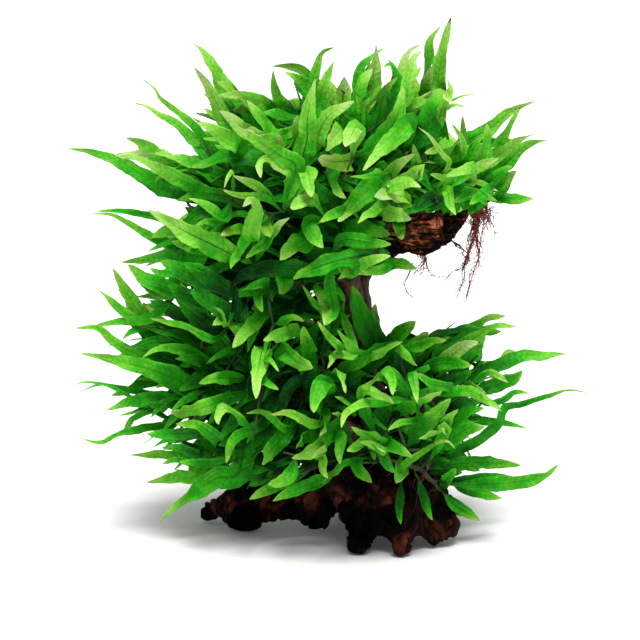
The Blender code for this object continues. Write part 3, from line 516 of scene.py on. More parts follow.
def makeStemFinish():
    paint, tree, shader = newMaterial("fern rhizome", 0.6)
    spot = objectPlace(tree)
    colour = ramp(noiseFor(spot, 120, 4), [(0.4, stemFinish["old"]), (0.62, stemFinish["young"])])
    feed(shader.inputs["Base Color"], colour)
    addBump(shader, noiseFor(spot, 900, 3), 1.0, 0.0008)
    return paint


rootFinish = {"dark": (0.008, 0.001, 0.0008), "red": (0.19, 0.014, 0.004), "pale": (0.42, 0.050, 0.014)}


def makeRootFinish():
    paint, tree, shader = newMaterial("fern root", 0.75)
    shade = noiseFor(objectPlace(tree), 300, 2) * 0.5 + attributeValue(tree, "tone") * 0.5
    colour = ramp(shade, [(0.25, rootFinish["dark"]), (0.5, rootFinish["red"]), (0.85, rootFinish["pale"])])
    feed(shader.inputs["Base Color"], colour)
    return paint


leafPaint = makeLeafFinish()
woodPaint = makeWoodFinish()
stemPaint = makeStemFinish()
rootPaint = makeRootFinish()
print("materials made")


# Driftwood

wood = {
    "voxel": 0.0015,
    "softening": 6,
    "lumpHeight": 0.0032,
    "lumpSize": 0.015,
    "grainHeight": 0.0015,
    "grainSize": 0.0042,
    "crackDepth": 0.0034,
    "crackSize": 0.011,
    "crackSharpness": 13,
    "calmFoot": 0.006,  # height over which the bark's relief grows, so that the feet stay on the surface
    "cavities": [  # rotted holes: photograph pixel and radius
        ((246, 522), 0.0115), ((206, 514), 0.0060), ((236, 494), 0.0050), ((318, 527), 0.0072),
        ((349, 520), 0.0130), ((370, 530), 0.0140), ((390, 517), 0.0085), ((351, 546), 0.0065),
        ((418, 551), 0.0072), ((468, 529), 0.0070), ((444, 514), 0.0050), ((290, 512), 0.0060),
    ],
    "otherCavities": [  # the same on the hidden sides: bearing in degrees, height, radius
        (12, 0.030, 0.009), (48, 0.022, 0.010), (84, 0.040, 0.012), (118, 0.026, 0.010),
        (150, 0.046, 0.008), (205, 0.022, 0.008), (65, 0.075, 0.007),
    ],
    "stockMiddle": (0.035, 0.005),
    "cavityRise": 0.22,  # how far a cavity's middle lies in front of the skin, as a share of its radius
    "ridgeHighlights": [  # painted highlights: reddish places where the light falls on the ridges, photograph pixel and radius
        ((226, 504), 0.013), ((262, 500), 0.010), ((232, 530), 0.009), ((212, 512), 0.009),
        ((284, 506), 0.010), ((312, 500), 0.013), ((340, 497), 0.012), ((371, 555), 0.010),
        ((395, 503), 0.012), ((455, 503), 0.009), ((440, 535), 0.010), ((407, 540), 0.006),
        ((408, 236), 0.015), ((418, 216), 0.009), ((436, 220), 0.010),
    ],
    "armFrom": (0.030, 0.045),
    "armAbove": (0.205, 0.215),
}


# pushes a skin in and out: lumps, grain along the wood and cracks, and marks the cracks and rotted holes for
# painted shade
def makeBarkTree():
    tree, given = newGeometryTree("barkRelief", {
        "Lump height": "Float", "Lump size": "Float", "Grain height": "Float", "Grain size": "Float",
        "Crack depth": "Float", "Crack size": "Float", "Seed": "Float", "Material": "Material",
    })
    spot = outcome(tree, "GeometryNodeInputPosition", {})
    normal = outcome(tree, "GeometryNodeInputNormal", {})
    onArm = attribute(tree, "onArm")

    def field(sizeName, stretch, armStretch, detail, seedShift):
        turned = outcome(tree, "ShaderNodeMix", {
            "Factor": onArm, "A": vectorMaths("MULTIPLY", spot, stretch),
            "B": vectorMaths("MULTIPLY", spot, armStretch)}, "Result", data_type="VECTOR")
        return outcome(tree, "ShaderNodeTexNoise", {
            "Vector": turned, "W": given["Seed"] + seedShift, "Scale": 1 / given[sizeName],
            "Detail": detail}, "Fac", noise_dimensions="4D") - 0.5

    lumps = field("Lump size", (1, 1, 0.8), (0.8, 1, 1), 3, 0.0) * 2.4
    grain = field("Grain size", (1, 1, 0.22), (0.25, 1, 1), 3, 4.0) * 2.4
    valleys = abs(field("Crack size", (1, 1, 0.45), (0.4, 1, 1), 2, 9.0))
    crack = (1 - valleys * wood["crackSharpness"]).clamped()
    rise = lumps * given["Lump height"] + grain * given["Grain height"] - crack * given["Crack depth"]
    rise = rise * (axesOf(spot)[2] * (1 / wood["calmFoot"])).clamped()
    # painted shade: cracks and rotted holes are marked to be painted black
    hollow = maths("MAXIMUM", crack * 0.85, attribute(tree, "cavity"))
    geometry = keep(given["Geometry"], "hollow", hollow)
    endTree(given, outcome(tree, "GeometryNodeSetPosition", {
        "Geometry": geometry, "Offset": scaled(normal, rise)}))
    return tree


def skinOf(mesh):
    return BVHTree.FromPolygons([v.co.copy() for v in mesh.vertices], [p.vertices[:] for p in mesh.polygons])


def vertexFinder(mesh):
    finder = KDTree(len(mesh.vertices))
    for vertex in mesh.vertices:
        finder.insert(vertex.co, vertex.index)
    finder.balance()
    return finder


# where the photograph's line of sight through a pixel meets a skin, and its direction
def hitAtPixel(skin, pixel):
    towards = (seenPoint(pixel, 0.0) - eyePoint).normalized()
    return skin.ray_cast(eyePoint, towards)[0], towards


def softStep(value, low, high):
    u = min(1.0, max(0.0, (value - low) / (high - low)))
    return u * u * (3 - 2 * u)


# middles and radii of the rotted holes
def findCavities(skin):
    found = []
    for pixel, radius in wood["cavities"]:
        hit, towards = hitAtPixel(skin, pixel)
        found.append((hit, towards, radius))
    for bearing, height, radius in wood["otherCavities"]:
        turn = math.radians(bearing)
        towards = -Vector((math.cos(turn), math.sin(turn), 0))
        start = Vector((*wood["stockMiddle"], height)) - towards * 0.4
        found.append((skin.ray_cast(start, towards)[0], towards, radius))
    return [(hit - towards * radius * wood["cavityRise"], radius) for hit, towards, radius in found if hit]


# the driftwood's solids as one mesh
def joinedWood(names):
    bm = bmesh.new()
    for name in names:
        bm.from_mesh(nodes[name].data)
    bmesh.ops.remove_doubles(bm, verts=bm.verts, dist=2e-6)
    return newMesh("driftwood", bm)


def makeDriftwood():
    names = [name for name in nodes if name.startswith("driftwood")]
    smooth = remeshed(joinedWood(names), wood["voxel"], wood["softening"])
    cavities = findCavities(skinOf(smooth))
    finder = vertexFinder(smooth)
    for middle, radius in cavities:
        for spot, index, away in finder.find_range(middle, radius):
            smooth.vertices[index].co = middle + (spot - middle).normalized() * radius
    smooth = remeshed(smooth, wood["voxel"], 1)

    finder = vertexFinder(smooth)
    cavity, paintedRidgeLight = [0.0] * len(smooth.vertices), [0.0] * len(smooth.vertices)
    # painted shade mask: black inside each rotted hole, fading at its rim
    for middle, radius in cavities:
        for spot, index, away in finder.find_range(middle, radius * 1.3):
            cavity[index] = max(cavity[index], 1 - softStep(away / radius, 1.04, 1.26))
    skin = skinOf(smooth)
    # painted highlight mask: reddish light on the ridges
    for pixel, radius in wood["ridgeHighlights"]:
        hit = hitAtPixel(skin, pixel)[0]
        for spot, index, away in finder.find_range(hit, radius) if hit else ():
            paintedRidgeLight[index] = max(paintedRidgeLight[index], 1 - softStep(away / radius, 0.3, 1.0))
    onArm = [softStep(v.co.x, *wood["armFrom"]) * softStep(v.co.z, *wood["armAbove"])
             for v in smooth.vertices]
    addAttributes(smooth, {"cavity": cavity, "paintedRidgeLight": paintedRidgeLight, "onArm": onArm})
    piece = growWith(makeBarkTree(), smooth, "driftwoodBark", {
        "Lump height": wood["lumpHeight"], "Lump size": wood["lumpSize"],
        "Grain height": wood["grainHeight"], "Grain size": wood["grainSize"],
        "Crack depth": wood["crackDepth"], "Crack size": wood["crackSize"], "Seed": 3.0,
    }, woodPaint)
    for vertex in piece.data.vertices:
        vertex.co.z = max(vertex.co.z, 0.0)
    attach(piece, "root")
    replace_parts(piece, *names)
    print("driftwood made:", len(piece.data.polygons), "faces")
    return piece


driftwood = makeDriftwood()
woodSkin = skinOf(driftwood.data)


# Leaves

leafShape = {
    # share of the length and share of half the width, for a drawn-out leaf and for a blunt one
    "slender": [
        (0.0, 0.12), (0.06, 0.13), (0.14, 0.30), (0.25, 0.70), (0.38, 1.0), (0.50, 0.96), (0.62, 0.83),
        (0.74, 0.62), (0.84, 0.41), (0.92, 0.23), (0.97, 0.13), (1.0, 0.05),
    ],
    "blunt": [
        (0.0, 0.12), (0.06, 0.14), (0.13, 0.34), (0.22, 0.68), (0.34, 0.92), (0.48, 1.0), (0.64, 0.95),
        (0.78, 0.80), (0.88, 0.60), (0.94, 0.42), (0.98, 0.24), (1.0, 0.07),
    ],
    "longFrom": 0.095,  # length from which a leaf counts as long
    "bluntness": {"long": 0.5, "short": 0.9},  # the most that a leaf's outline takes of the blunt one
    "widening": 1.14,  # blades are this much broader than their solids
    "ribSpacing": 0.0034,  # distance between a blade's cross-sections
    "thickness": 0.00042,
    "midribHeight": 0.0005,
    "stalkRadius": 0.0008,
    "stalkShare": 0.08,
    "fold": 0.14,
    "waveHeight": 0.34,
    "waveLength": 0.027,
    "wander": 0.045,  # how far a midline strays, as a share of the length
    "hostFreedom": 0.3,  # share of all straying that the solids' own leaves keep
    "twist": 1.15,
    "hook": (0.030, 0.035),  # how far a tip bends down, as a share of the length: usual and spread
    "hookFrom": 0.68,
    "swing": 0.030,
    "topPlaces": (0.0, 0.1, 0.34, 0.64, 0.92),  # places across half a blade
    "underPlaces": (0.0, 0.34, 0.8),
    "paintedInnerShade": 0.42,  # painted shade: tone of a leaf deep in the plant, as a share of its own
    # painted light: how much lighter the leaves at the top of the plant are
    "paintedTopLight": 0.12,
    "dimming": 0.02,
    "lowest": 0.0003,  # a leaf that hangs to the ground lies on it
}


def widthShare(s, rows):
    for (s0, w0), (s1, w1) in zip(rows, rows[1:]):
        if s <= s1:
            return w0 + (w1 - w0) * softStep(s, s0, s1)
    return rows[-1][1]


# point at s (0 to 1, by stop) on the smooth curve through the stops
def catmullRom(stops, s):
    count = len(stops) - 1
    i = min(int(s * count), count - 1)
    u = s * count - i
    before = stops[i - 1] if i > 0 else 2 * stops[0] - stops[1]
    after = stops[i + 2] if i + 2 <= count else 2 * stops[-1] - stops[-2]
    a, b = stops[i], stops[i + 1]
    return 0.5 * (2 * a + (b - before) * u + (2 * before - 5 * a + 4 * b - after) * u * u
                  + (3 * a - before - 3 * b + after) * u ** 3)


def runningLengths(points):
    lengths = [0.0]
    for a, b in zip(points, points[1:]):
        lengths.append(lengths[-1] + (b - a).length)
    return lengths


# evenly spaced points on the smooth curve through the stops, and its length
def evenPoints(stops, spacing, fewest, most):
    raw = [catmullRom(stops, i / 60) for i in range(61)]
    lengths = runningLengths(raw)
    total = lengths[-1]
    count = max(fewest, min(most, round(total / spacing)))
    points, j = [], 0
    for i in range(count + 1):
        want = total * i / count
        while j < 59 and lengths[j + 1] < want:
            j += 1
        u = (want - lengths[j]) / max(lengths[j + 1] - lengths[j], 1e-9)
        points.append(raw[j].lerp(raw[j + 1], min(1.0, u)))
    return points, total


# the leaves of a node, each walked back from its point rib by rib, and its bare stem
def leavesOf(node):
    bm = bmesh.new()
    bm.from_mesh(node.data)
    bmesh.ops.remove_doubles(bm, verts=bm.verts, dist=2e-6)
    found, taken = [], set()
    for tip in bm.verts:
        if len(tip.link_edges) != 3:
            continue
        ribs, seen = [[edge.other_vert(tip) for edge in tip.link_edges]], {tip}
        seen.update(ribs[0])
        while True:
            nextRib = {edge.other_vert(v) for v in ribs[-1] for edge in v.link_edges} - seen
            if len(nextRib) != 3:
                break
            ribs.append(sorted(nextRib, key=lambda v: v.index))
            seen |= nextRib
        centre = sum((v.co for v in ribs[0]), Vector()) / 3
        if len(ribs) < 2 or (centre - tip.co).length < 0.005:
            continue
        found.append(readRibs(tip, ribs))
        taken |= {v for rib in ribs[:-1] for v in rib} | {tip}
    stem = stemWithout(bm, taken)
    bm.free()
    return found, stem


# midline points, normals and width
def readRibs(tip, ribs):
    side = None
    points, normals, widths = [tip.co.copy()], [], []
    for rib in ribs:
        pairs = [(rib[a], rib[b], rib[c]) for a, b, c in ((0, 1, 2), (1, 2, 0), (2, 0, 1))]
        if side is None:
            left, right, keel = max(pairs, key=lambda p: (p[0].co - p[1].co).length)
        else:
            left, right, keel = max(pairs, key=lambda p: abs((p[0].co - p[1].co).dot(side)))
        span = right.co - left.co
        if side is not None and span.dot(side) < 0:
            span = -span
        middle = (left.co + right.co) / 2
        widths.append(span.length)
        side = span.normalized()
        points.append(middle)
        normals.append((middle - keel.co).normalized())
    points.reverse()
    normals.reverse()
    normals.append(normals[-1])
    return {"points": points, "normals": normals, "width": max(widths)}


# the node's stem alone, closed where its leaves were
def stemWithout(bm, taken):
    copy = bm.copy()
    copy.verts.ensure_lookup_table()
    gone = [copy.verts[v.index] for v in sorted(taken, key=lambda v: v.index)]
    bmesh.ops.delete(copy, geom=gone, context="VERTS")
    bmesh.ops.holes_fill(copy, edges=copy.edges, sides=0)
    bmesh.ops.recalc_face_normals(copy, faces=copy.faces)
    return copy


hostLeaves = {}  # leaves that the solids hold, by node
stems = {}
for nodeName in sorted(nodes):
    if nodeName.startswith(("leaf", "rhizome")):
        hostLeaves[nodeName], stem = leavesOf(nodes[nodeName])
        if nodeName.startswith("rhizome"):
            stems[nodeName] = stem
        else:
            stem.free()
print("leaves read from the solids:", sum(map(len, hostLeaves.values())))


# a leaf's upper and side directions at a share of its length, turned by its twist
def leafFrame(leaf, stopShares, s, tangent, twist):
    k = 0
    while k < len(stopShares) - 2 and stopShares[k + 1] < s:
        k += 1
    u = (s - stopShares[k]) / max(stopShares[k + 1] - stopShares[k], 1e-9)
    normal = leaf["normals"][k].lerp(leaf["normals"][k + 1], min(1.0, max(0.0, u)))
    normal = normal - tangent * normal.dot(tangent)
    if normal.length < 1e-3:
        normal = Vector((0, 0, 1)) - tangent * tangent.z
    normal = Quaternion(tangent, twist * (s - 0.3)) @ normal.normalized()
    return normal, tangent.cross(normal).normalized()


# half the width of a leaf at a share of its length
def halfWidthAt(leaf, s, bluntness):
    slender, blunt = widthShare(s, leafShape["slender"]), widthShare(s, leafShape["blunt"])
    broad = leaf["width"] / 2 * leaf.get("widening", leafShape["widening"])
    half = max((slender * (1 - bluntness) + blunt * bluntness) * broad, 0.00025 * (1 - s) + 0.0001)
    return max(half, leafShape["stalkRadius"] * 1.1) if s < leafShape["stalkShare"] else half


# evenly spaced points along a leaf with its upper and side directions and half widths, and its length
def lineOf(leaf, rng):
    points, total = evenPoints(leaf["points"], leafShape["ribSpacing"], 12, 36)
    count = len(points) - 1
    lengths = runningLengths(leaf["points"])
    stopShares = [x / lengths[-1] for x in lengths]
    twist = rng.gauss(0, 0.5) * leafShape["twist"]
    free = leaf.get("free", leafShape["hostFreedom"]) * total
    sway, lift = (rng.uniform(-1, 1) * leafShape["wander"] * free for _ in range(2))
    bends, start = rng.uniform(1.1, 2.3), rng.uniform(0, 0.6)
    hook, swing = rng.gauss(*leafShape["hook"]) * free, rng.gauss(0, leafShape["swing"]) * free
    most = leafShape["bluntness"]["long" if total > leafShape["longFrom"] else "short"]
    bluntness = leaf.get("blunt", most * rng.random() ** 0.45)

    def frameAt(i):
        tangent = (points[min(i + 1, count)] - points[max(i - 1, 0)]).normalized()
        return leafFrame(leaf, stopShares, i / count, tangent, twist)

    moved = []
    for i, point in enumerate(points):
        s = i / count
        normal, side = frameAt(i)
        stray = math.sin(math.pi * s) * math.sin(math.pi * (bends * s + start))
        bend = max(0.0, (s - leafShape["hookFrom"]) / (1 - leafShape["hookFrom"])) ** 2
        moved.append(point + side * (sway * stray + swing * bend) + normal * (lift * stray - hook * bend))
    points = moved
    rows = [(point, *frameAt(i), halfWidthAt(leaf, i / count, bluntness)) for i, point in enumerate(points)]
    return rows, total


# how light a leaf is at a point: painted shade deep in the plant, painted light at its top
def toneWithPaintedShade(tone, point):
    inner = leafShape["paintedInnerShade"]
    lit = inner + (1 - inner) * softStep(depthShare(point), 0.25, 0.80)
    return tone * lit + leafShape["paintedTopLight"] * softStep(point.z, 0.2, 0.3) - leafShape["dimming"]


# a chain of points for each leaf, with what the blade tree reads from it
def midlineMesh(name, leaves, rng):
    mesh = bpy.data.meshes.new(name)
    spots, edges = [], []
    columns = {label: [] for label in (
        "upper", "sideways", "halfWidth", "tone", "leafSeed", "leafLength", "broad")}
    for leaf in leaves:
        rows, total = lineOf(leaf, rng)
        first = len(spots)
        tone, seed = leaf.get("tone", rng.uniform(0.42, 0.8)), rng.uniform(0, 40)
        for point, normal, side, half in rows:
            spots.append(point)
            row = (normal, side, half, toneWithPaintedShade(tone, point), seed, total, leaf["width"] / 2)
            for column, value in zip(columns.values(), row):
                column.append(value)
        edges += [(first + i, first + i + 1) for i in range(len(rows) - 1)]
    mesh.from_pydata(spots, edges, [])
    addAttributes(mesh, columns)
    return mesh


# places across a blade, out and back, as one closed outline: its X is across, its Y over or under
def makeSection():
    above, below = leafShape["topPlaces"], leafShape["underPlaces"]
    top = [(x, 1) for x in reversed(above)] + [(-x, 1) for x in above[1:]]
    under = [(-x, -1) for x in reversed(below[1:])] + [(x, -1) for x in below]
    outline = [(1, 0)] + top + [(-1, 0)] + under
    curve = bpy.data.curves.new("bladeSection", "CURVE")
    curve.dimensions = "3D"
    spline = curve.splines.new("POLY")
    spline.points.add(len(outline) - 1)
    for point, (x, rise) in zip(spline.points, outline):
        point.co = (x, rise * 0.001, 0, 1)
    spline.use_cyclic_u = True
    return linkObject("bladeSection", curve)


# a round or flat section swept along a tree's mesh lines
def sweep(curve, profile, settings):
    return outcome(curve.tree, "GeometryNodeCurveToMesh", {
        "Curve": curve, "Profile Curve": profile, "Fill Caps": True, **settings})


# sweeps a blade along each midline: folded, wavy at its margins, with a midrib and a round stalk
def makeBladeTree():
    tree, given = newGeometryTree("fernBlades", {
        "Section": "Object", "Thickness": "Float", "Midrib height": "Float", "Stalk radius": "Float",
        "Fold": "Float", "Wave height": "Float", "Wave length": "Float", "Seed": "Float",
        "Material": "Material",
    })
    lines = outcome(tree, "GeometryNodeMeshToCurve", {"Mesh": given["Geometry"]})
    upper, sideways = (attribute(tree, name, "FLOAT_VECTOR") for name in ("upper", "sideways"))
    half, length = attribute(tree, "halfWidth"), attribute(tree, "leafLength")
    lines = keep(lines, "along", outcome(tree, "GeometryNodeSplineParameter", {}, "Factor"))

    section = outcome(tree, "GeometryNodeObjectInfo", {"Object": given["Section"]}, "Geometry")
    position = outcome(tree, "GeometryNodeInputPosition", {})
    placeAcross, placeUp = axesOf(position)[:2]
    section = keep(keep(section, "across", placeAcross), "rise", placeUp * 1000.0)
    section = outcome(tree, "GeometryNodeSetPosition", {
        "Geometry": section, "Position": scaled(position, 1e-5)})
    blades = sweep(lines, section, {})

    along, across, rise = (attribute(tree, name) for name in ("along", "across", "rise"))
    seed = attribute(tree, "leafSeed") + given["Seed"]
    side = abs(across)

    # thickness: a thin blade, a rib down its middle, round where it is a stalk
    rib = maths("EXPONENT", side * side * -140.0) * given["Midrib height"]
    rib = rib * (rise * -0.3 + 0.7) * (along * -0.85 + 1.0)
    rounding = maths("SQRT", (1 - side * side).clamped())
    stalk = (along * -8.0 + 1.35).clamped() * rounding * given["Stalk radius"]
    body = (along * -0.25 + 0.5) * given["Thickness"]
    lift = (body + rib + stalk) * rise

    # shape across: folded up from the midrib, margins in waves that differ on the two sides
    fold = side ** 1.25 * given["Fold"]
    travelled = along * length
    turns = travelled / given["Wave length"] * (2 * math.pi) + seed
    offBeat = maths("SIGN", across) * maths("FRACT", seed)
    wave = maths("SINE", turns + offBeat * 2.4) + maths("SINE", turns * 0.43 + offBeat * -5.0) * 0.8
    wave = wave * (side ** 1.6 * given["Wave height"])
    lift = (fold + wave) * half + lift

    # outline: each margin swells and shrinks a little
    margin = outcome(tree, "ShaderNodeCombineXYZ", {
        "X": travelled, "Y": seed + maths("SIGN", across)})
    swell = outcome(tree, "ShaderNodeTexNoise", {
        "Vector": margin, "Scale": 80, "Detail": 2.5, "Roughness": 0.7}, "Fac", noise_dimensions="2D")
    out = across * half * (swell * 0.8 + 0.6)

    offset = vectorMaths("ADD", scaled(upper, lift), scaled(sideways, out))
    blades = outcome(tree, "GeometryNodeSetPosition", {"Geometry": blades, "Offset": offset})
    chart = outcome(tree, "ShaderNodeCombineXYZ", {
        "X": travelled, "Y": across * attribute(tree, "broad"), "Z": seed * 0.05})
    endTree(given, keep(blades, "bladeMap", chart, "FLOAT_VECTOR"))
    return tree


bladeTree = makeBladeTree()
bladeSection = makeSection()


def growLeaves(name, leaves, seed):
    mesh = midlineMesh(name, leaves, random.Random(seed))
    piece = growWith(bladeTree, mesh, name, {
        "Section": bladeSection, "Thickness": leafShape["thickness"],
        "Midrib height": leafShape["midribHeight"], "Stalk radius": leafShape["stalkRadius"],
        "Fold": leafShape["fold"], "Wave height": leafShape["waveHeight"],
        "Wave length": leafShape["waveLength"], "Seed": 0.0,
    }, leafPaint)
    attributes = piece.data.attributes
    for used in ("upper", "sideways", "halfWidth", "rise", "leafSeed", "leafLength", "broad"):
        attributes.remove(attributes[used])
    for vertex in piece.data.vertices:
        vertex.co.z = max(vertex.co.z, leafShape["lowest"])
    return piece


# Round strands, for side branches and roots

strandTaper = 0.7  # how much thinner a strand is at its end, as a share of its radius


def makeStrandTree():
    tree, given = newGeometryTree("rootStrands", {"Sides": "Int", "Material": "Material"})
    lines = outcome(tree, "GeometryNodeMeshToCurve", {"Mesh": given["Geometry"]})
    ring = outcome(tree, "GeometryNodeCurvePrimitiveCircle", {"Resolution": given["Sides"], "Radius": 1.0})
    endTree(given, sweep(lines, ring, {"Scale": attribute(tree, "thick")}))
    return tree


# one mesh of round strands, each a row of points with its radius at the start and its tone
def growStrands(name, strands, sides, finish):
    spots, edges, thick, tones = [], [], [], []
    for points, radius, tone in strands:
        first = len(spots)
        for i, point in enumerate(points):
            spots.append(point)
            thick.append(radius * (1 - strandTaper * i / (len(points) - 1)))
            tones.append(tone)
        edges += [(first + i, first + i + 1) for i in range(len(points) - 1)]
    mesh = bpy.data.meshes.new(name)
    mesh.from_pydata(spots, edges, [])
    addAttributes(mesh, {"thick": thick, "tone": tones})
    piece = growWith(strandTree, mesh, name, {"Sides": sides}, finish)
    piece.data.attributes.remove(piece.data.attributes["thick"])
    return piece


strandTree = makeStrandTree()


# The growth that fills the plant between the leaves of the solids

growth = {
    "outline": [  # photograph pixels: leaves that the solids don't hold end inside it
        (112, 152), (150, 142), (200, 150), (176, 118), (206, 98), (214, 72), (236, 92), (262, 94),
        (282, 74), (300, 78), (318, 66), (334, 86), (352, 78), (368, 62), (392, 66), (408, 62), (424, 66),
        (436, 46), (448, 52), (450, 100), (456, 128), (484, 132), (520, 116), (528, 142), (506, 166),
        (496, 200), (460, 206), (420, 210), (398, 226), (398, 244), (392, 264), (372, 272), (356, 276),
        (356, 330), (378, 342), (400, 336), (424, 328), (446, 328), (470, 320), (506, 322), (520, 354),
        (512, 372), (520, 396), (498, 420), (486, 438), (500, 466), (470, 486), (430, 488), (384, 486),
        (350, 484), (322, 486), (292, 500), (262, 498), (250, 484), (222, 496), (176, 496), (150, 480),
        (172, 458), (116, 440), (128, 424), (104, 404), (112, 384), (92, 372), (108, 350), (98, 330),
        (118, 318), (106, 288), (136, 288), (136, 262), (180, 252), (140, 232), (112, 214), (170, 206),
        (184, 196), (150, 182),
    ],
    "clear": [  # photograph pixels: where wood shows, with no leaf in front
        [(396, 226), (404, 210), (428, 206), (456, 205), (470, 212), (456, 240), (432, 256), (408, 250),
         (396, 242)],
        [(354, 276), (374, 270), (377, 300), (380, 340), (368, 346), (364, 326), (357, 300)],
        [(212, 502), (240, 490), (256, 504), (304, 500), (322, 488), (384, 486), (394, 502), (430, 502),
         (446, 506), (464, 516), (456, 560), (190, 560), (194, 520)],
    ],
    "gaps": [  # photograph pixels: where the background shows
        [(160, 148), (196, 140), (207, 162), (196, 160), (176, 152)],
        [(140, 206), (175, 203), (192, 206), (186, 217), (160, 213)],
        [(440, 122), (456, 128), (456, 146), (440, 141)],
        [(280, 82), (292, 88), (303, 100), (299, 111), (286, 98)],
        [(376, 276), (398, 276), (398, 322), (380, 342)],
        [(452, 350), (480, 345), (512, 340), (520, 350), (482, 359), (456, 358)],
        [(455, 450), (478, 445), (492, 447), (488, 458), (460, 458)],
        [(504, 384), (540, 372), (540, 392), (510, 398)],
        [(96, 362), (122, 366), (136, 376), (112, 382), (92, 374)],
        [(112, 396), (140, 394), (148, 400), (120, 404)],
        [(112, 424), (150, 420), (150, 428), (118, 432)],
    ],
    "flow": [  # photograph pixel, and the way leaves run there: to the right, and up
        ((170, 170), (-1, 0.35)), ((210, 130), (-0.8, 0.7)), ((215, 90), (-0.5, 0.9)),
        ((250, 100), (-0.7, 0.5)), ((280, 80), (-0.4, 0.9)), ((315, 80), (0.3, 0.9)),
        ((345, 90), (0.0, 1)), ((382, 95), (0.15, 1)), ((405, 70), (0.3, 0.9)), ((440, 70), (0.2, 1)),
        ((460, 130), (0.5, 0.7)), ((500, 130), (0.8, 0.6)), ((500, 165), (0.9, 0.4)),
        ((430, 180), (0.9, 0.35)), ((375, 185), (0.7, 0.6)), ((330, 150), (-0.1, 0.6)),
        ((290, 190), (-0.3, -0.5)), ((345, 220), (0.9, 0.1)), ((360, 245), (0.9, 0.1)),
        ((330, 262), (1, 0.1)), ((200, 220), (-1, 0.2)), ((230, 200), (-0.9, 0.3)),
        ((250, 150), (-0.8, 0.45)), ((280, 135), (-0.5, 0.6)), ((180, 262), (-1, 0.0)),
        ((250, 240), (-0.7, -0.2)), ((290, 235), (0.5, 0.4)), ((120, 300), (-0.5, 0.8)),
        ((110, 335), (-0.9, 0.3)), ((160, 320), (-0.6, 0.7)), ((130, 362), (-1, 0.3)),
        ((120, 392), (-1, 0.0)), ((140, 430), (-1, -0.1)), ((180, 462), (-1, -0.15)),
        ((200, 495), (-0.8, -0.5)), ((205, 345), (-0.6, 0.7)), ((245, 325), (0.4, 0.8)),
        ((260, 375), (-0.2, -0.9)), ((290, 350), (0.8, 0.1)), ((308, 370), (0.0, 1)),
        ((335, 335), (0.2, 0.9)), ((358, 320), (0.0, 1)), ((328, 300), (0.0, -1)),
        ((300, 445), (-0.8, -0.5)), ((270, 410), (-0.7, -0.1)), ((345, 385), (0.6, 0.6)),
        ((375, 350), (0.7, 0.5)), ((400, 415), (0.8, 0.6)), ((440, 360), (0.8, 0.4)),
        ((480, 330), (0.9, 0.35)), ((510, 365), (0.9, 0.3)), ((480, 400), (0.8, 0.5)),
        ((440, 440), (0.7, 0.2)), ((470, 472), (1, -0.1)), ((340, 462), (0.2, -0.8)),
        ((245, 440), (-0.6, -0.7)), ((375, 470), (0.3, -0.8)), ((280, 480), (-0.8, -0.5)),
    ],
    "flowReach": 34,  # pixels over which a row of the flow is felt
    "flowOutwards": 0.75,
    "strayFlow": 0.33,
    "tone": {  # how light a leaf is: what its place adds, and between which values that grows; the shell and height rows are partly painted shade inside the plant and painted light at its top
        "base": 0.11, "spread": 0.13, "least": 0.04,
        "shell": (0.34, 0.35, 1.0), "height": (0.46, 0.04, 0.34), "rightward": (0.10, -0.05, 0.16),
    },
    "hostLighter": 0.08,
    "seenSlope": 0.22,  # how much deeper the foot of a measured leaf lies than its tip
    "seenFreedom": 0.25,
    "seenFaces": (0.55, 1.0),  # how much a measured leaf turns to the viewer
    "seenWidening": (1.56, -0.02),  # blades are this much broader than measured, and less so by each pixel
    "seenBluntness": (1.6, 0.25),  # of their tips, and what each measured pixel takes off
    "seenStalk": 0.012,  # a measured place this near to a leaf's root is left out
    "sameTip": 7,  # pixels between the tips of a measured leaf and of the solids' leaf that it is
    "frontTo": 0.06,  # depth up to which the solids' leaves can be measured ones
    "thinned": [  # tips of blades that are narrower than their solids, and their share of the width
        ((374, 304), 0.45), ((369, 299), 0.45), ((361, 319), 0.6),
    ],
    "behind": 0.42,  # on the viewer's side the filling leaves end this share of the depth from the middle
    "paintedShadeBehind": 0.5,  # painted shade: how dark the filling leaves behind the measured ones are painted
    "paintedShadeBehindTo": 0.1,
    "masses": {  # the leafy masses: middle and half sizes
        "upper": (Vector((-0.012, 0.003, 0.268)), Vector((0.168, 0.112, 0.124))),
        "neck": (Vector((-0.062, 0.003, 0.190)), Vector((0.100, 0.088, 0.070))),
        "lower": (Vector((0.000, 0.003, 0.112)), Vector((0.184, 0.122, 0.098))),
    },
    "branchSpacing": 0.036,  # distance between the ends of the stems' side branches
    "branchFrom": 0.15,  # shares of the way from a mass's middle to its surface
    "branchTo": 0.74,
    "branchLengths": (0.012, 0.085),
    "branchBend": (0.45, 0.18, 0.12),  # shares of its reach: where it bends, how far outwards and down
    "branchStep": 0.005,
    "branchFloor": 0.03,
    "branchRadius": 0.0012,
    "branchRoom": 0.002,
    "stemEdge": 0.006,  # shortest edge of a stem that leaves grow from
    "spacing": 0.0204,  # distance between the places that filling leaves reach for
    "fillFrom": 0.36,
    "fillLengths": (0.044, 0.092),
    "fillWidths": (0.0075, 0.0130),
    "fillReach": (0.03, 0.118),
    "flowPull": 0.055,  # metres that a stem place against the flow counts as too far
    "crowding": 0.005,  # and metres for each leaf that it has
    "arch": (0.04, 0.22),  # how far a filling leaf arches up, as a share of its reach
    "archStops": (0.26, 0.64),
    "firstRise": 0.6,
    "outOfStem": 0.06,
    "bend": 0.10,
    "fillFaces": (0.25, 0.95),
    "unevenFace": 0.22,
    "usualReach": 0.06,
    "clearTo": 0.04,  # depth up to which a leaf would hide the wood that shows
    "edgeRoom": 0.002,
    "groundRoom": 0.012,
    "woodRoom": 0.0015,
}

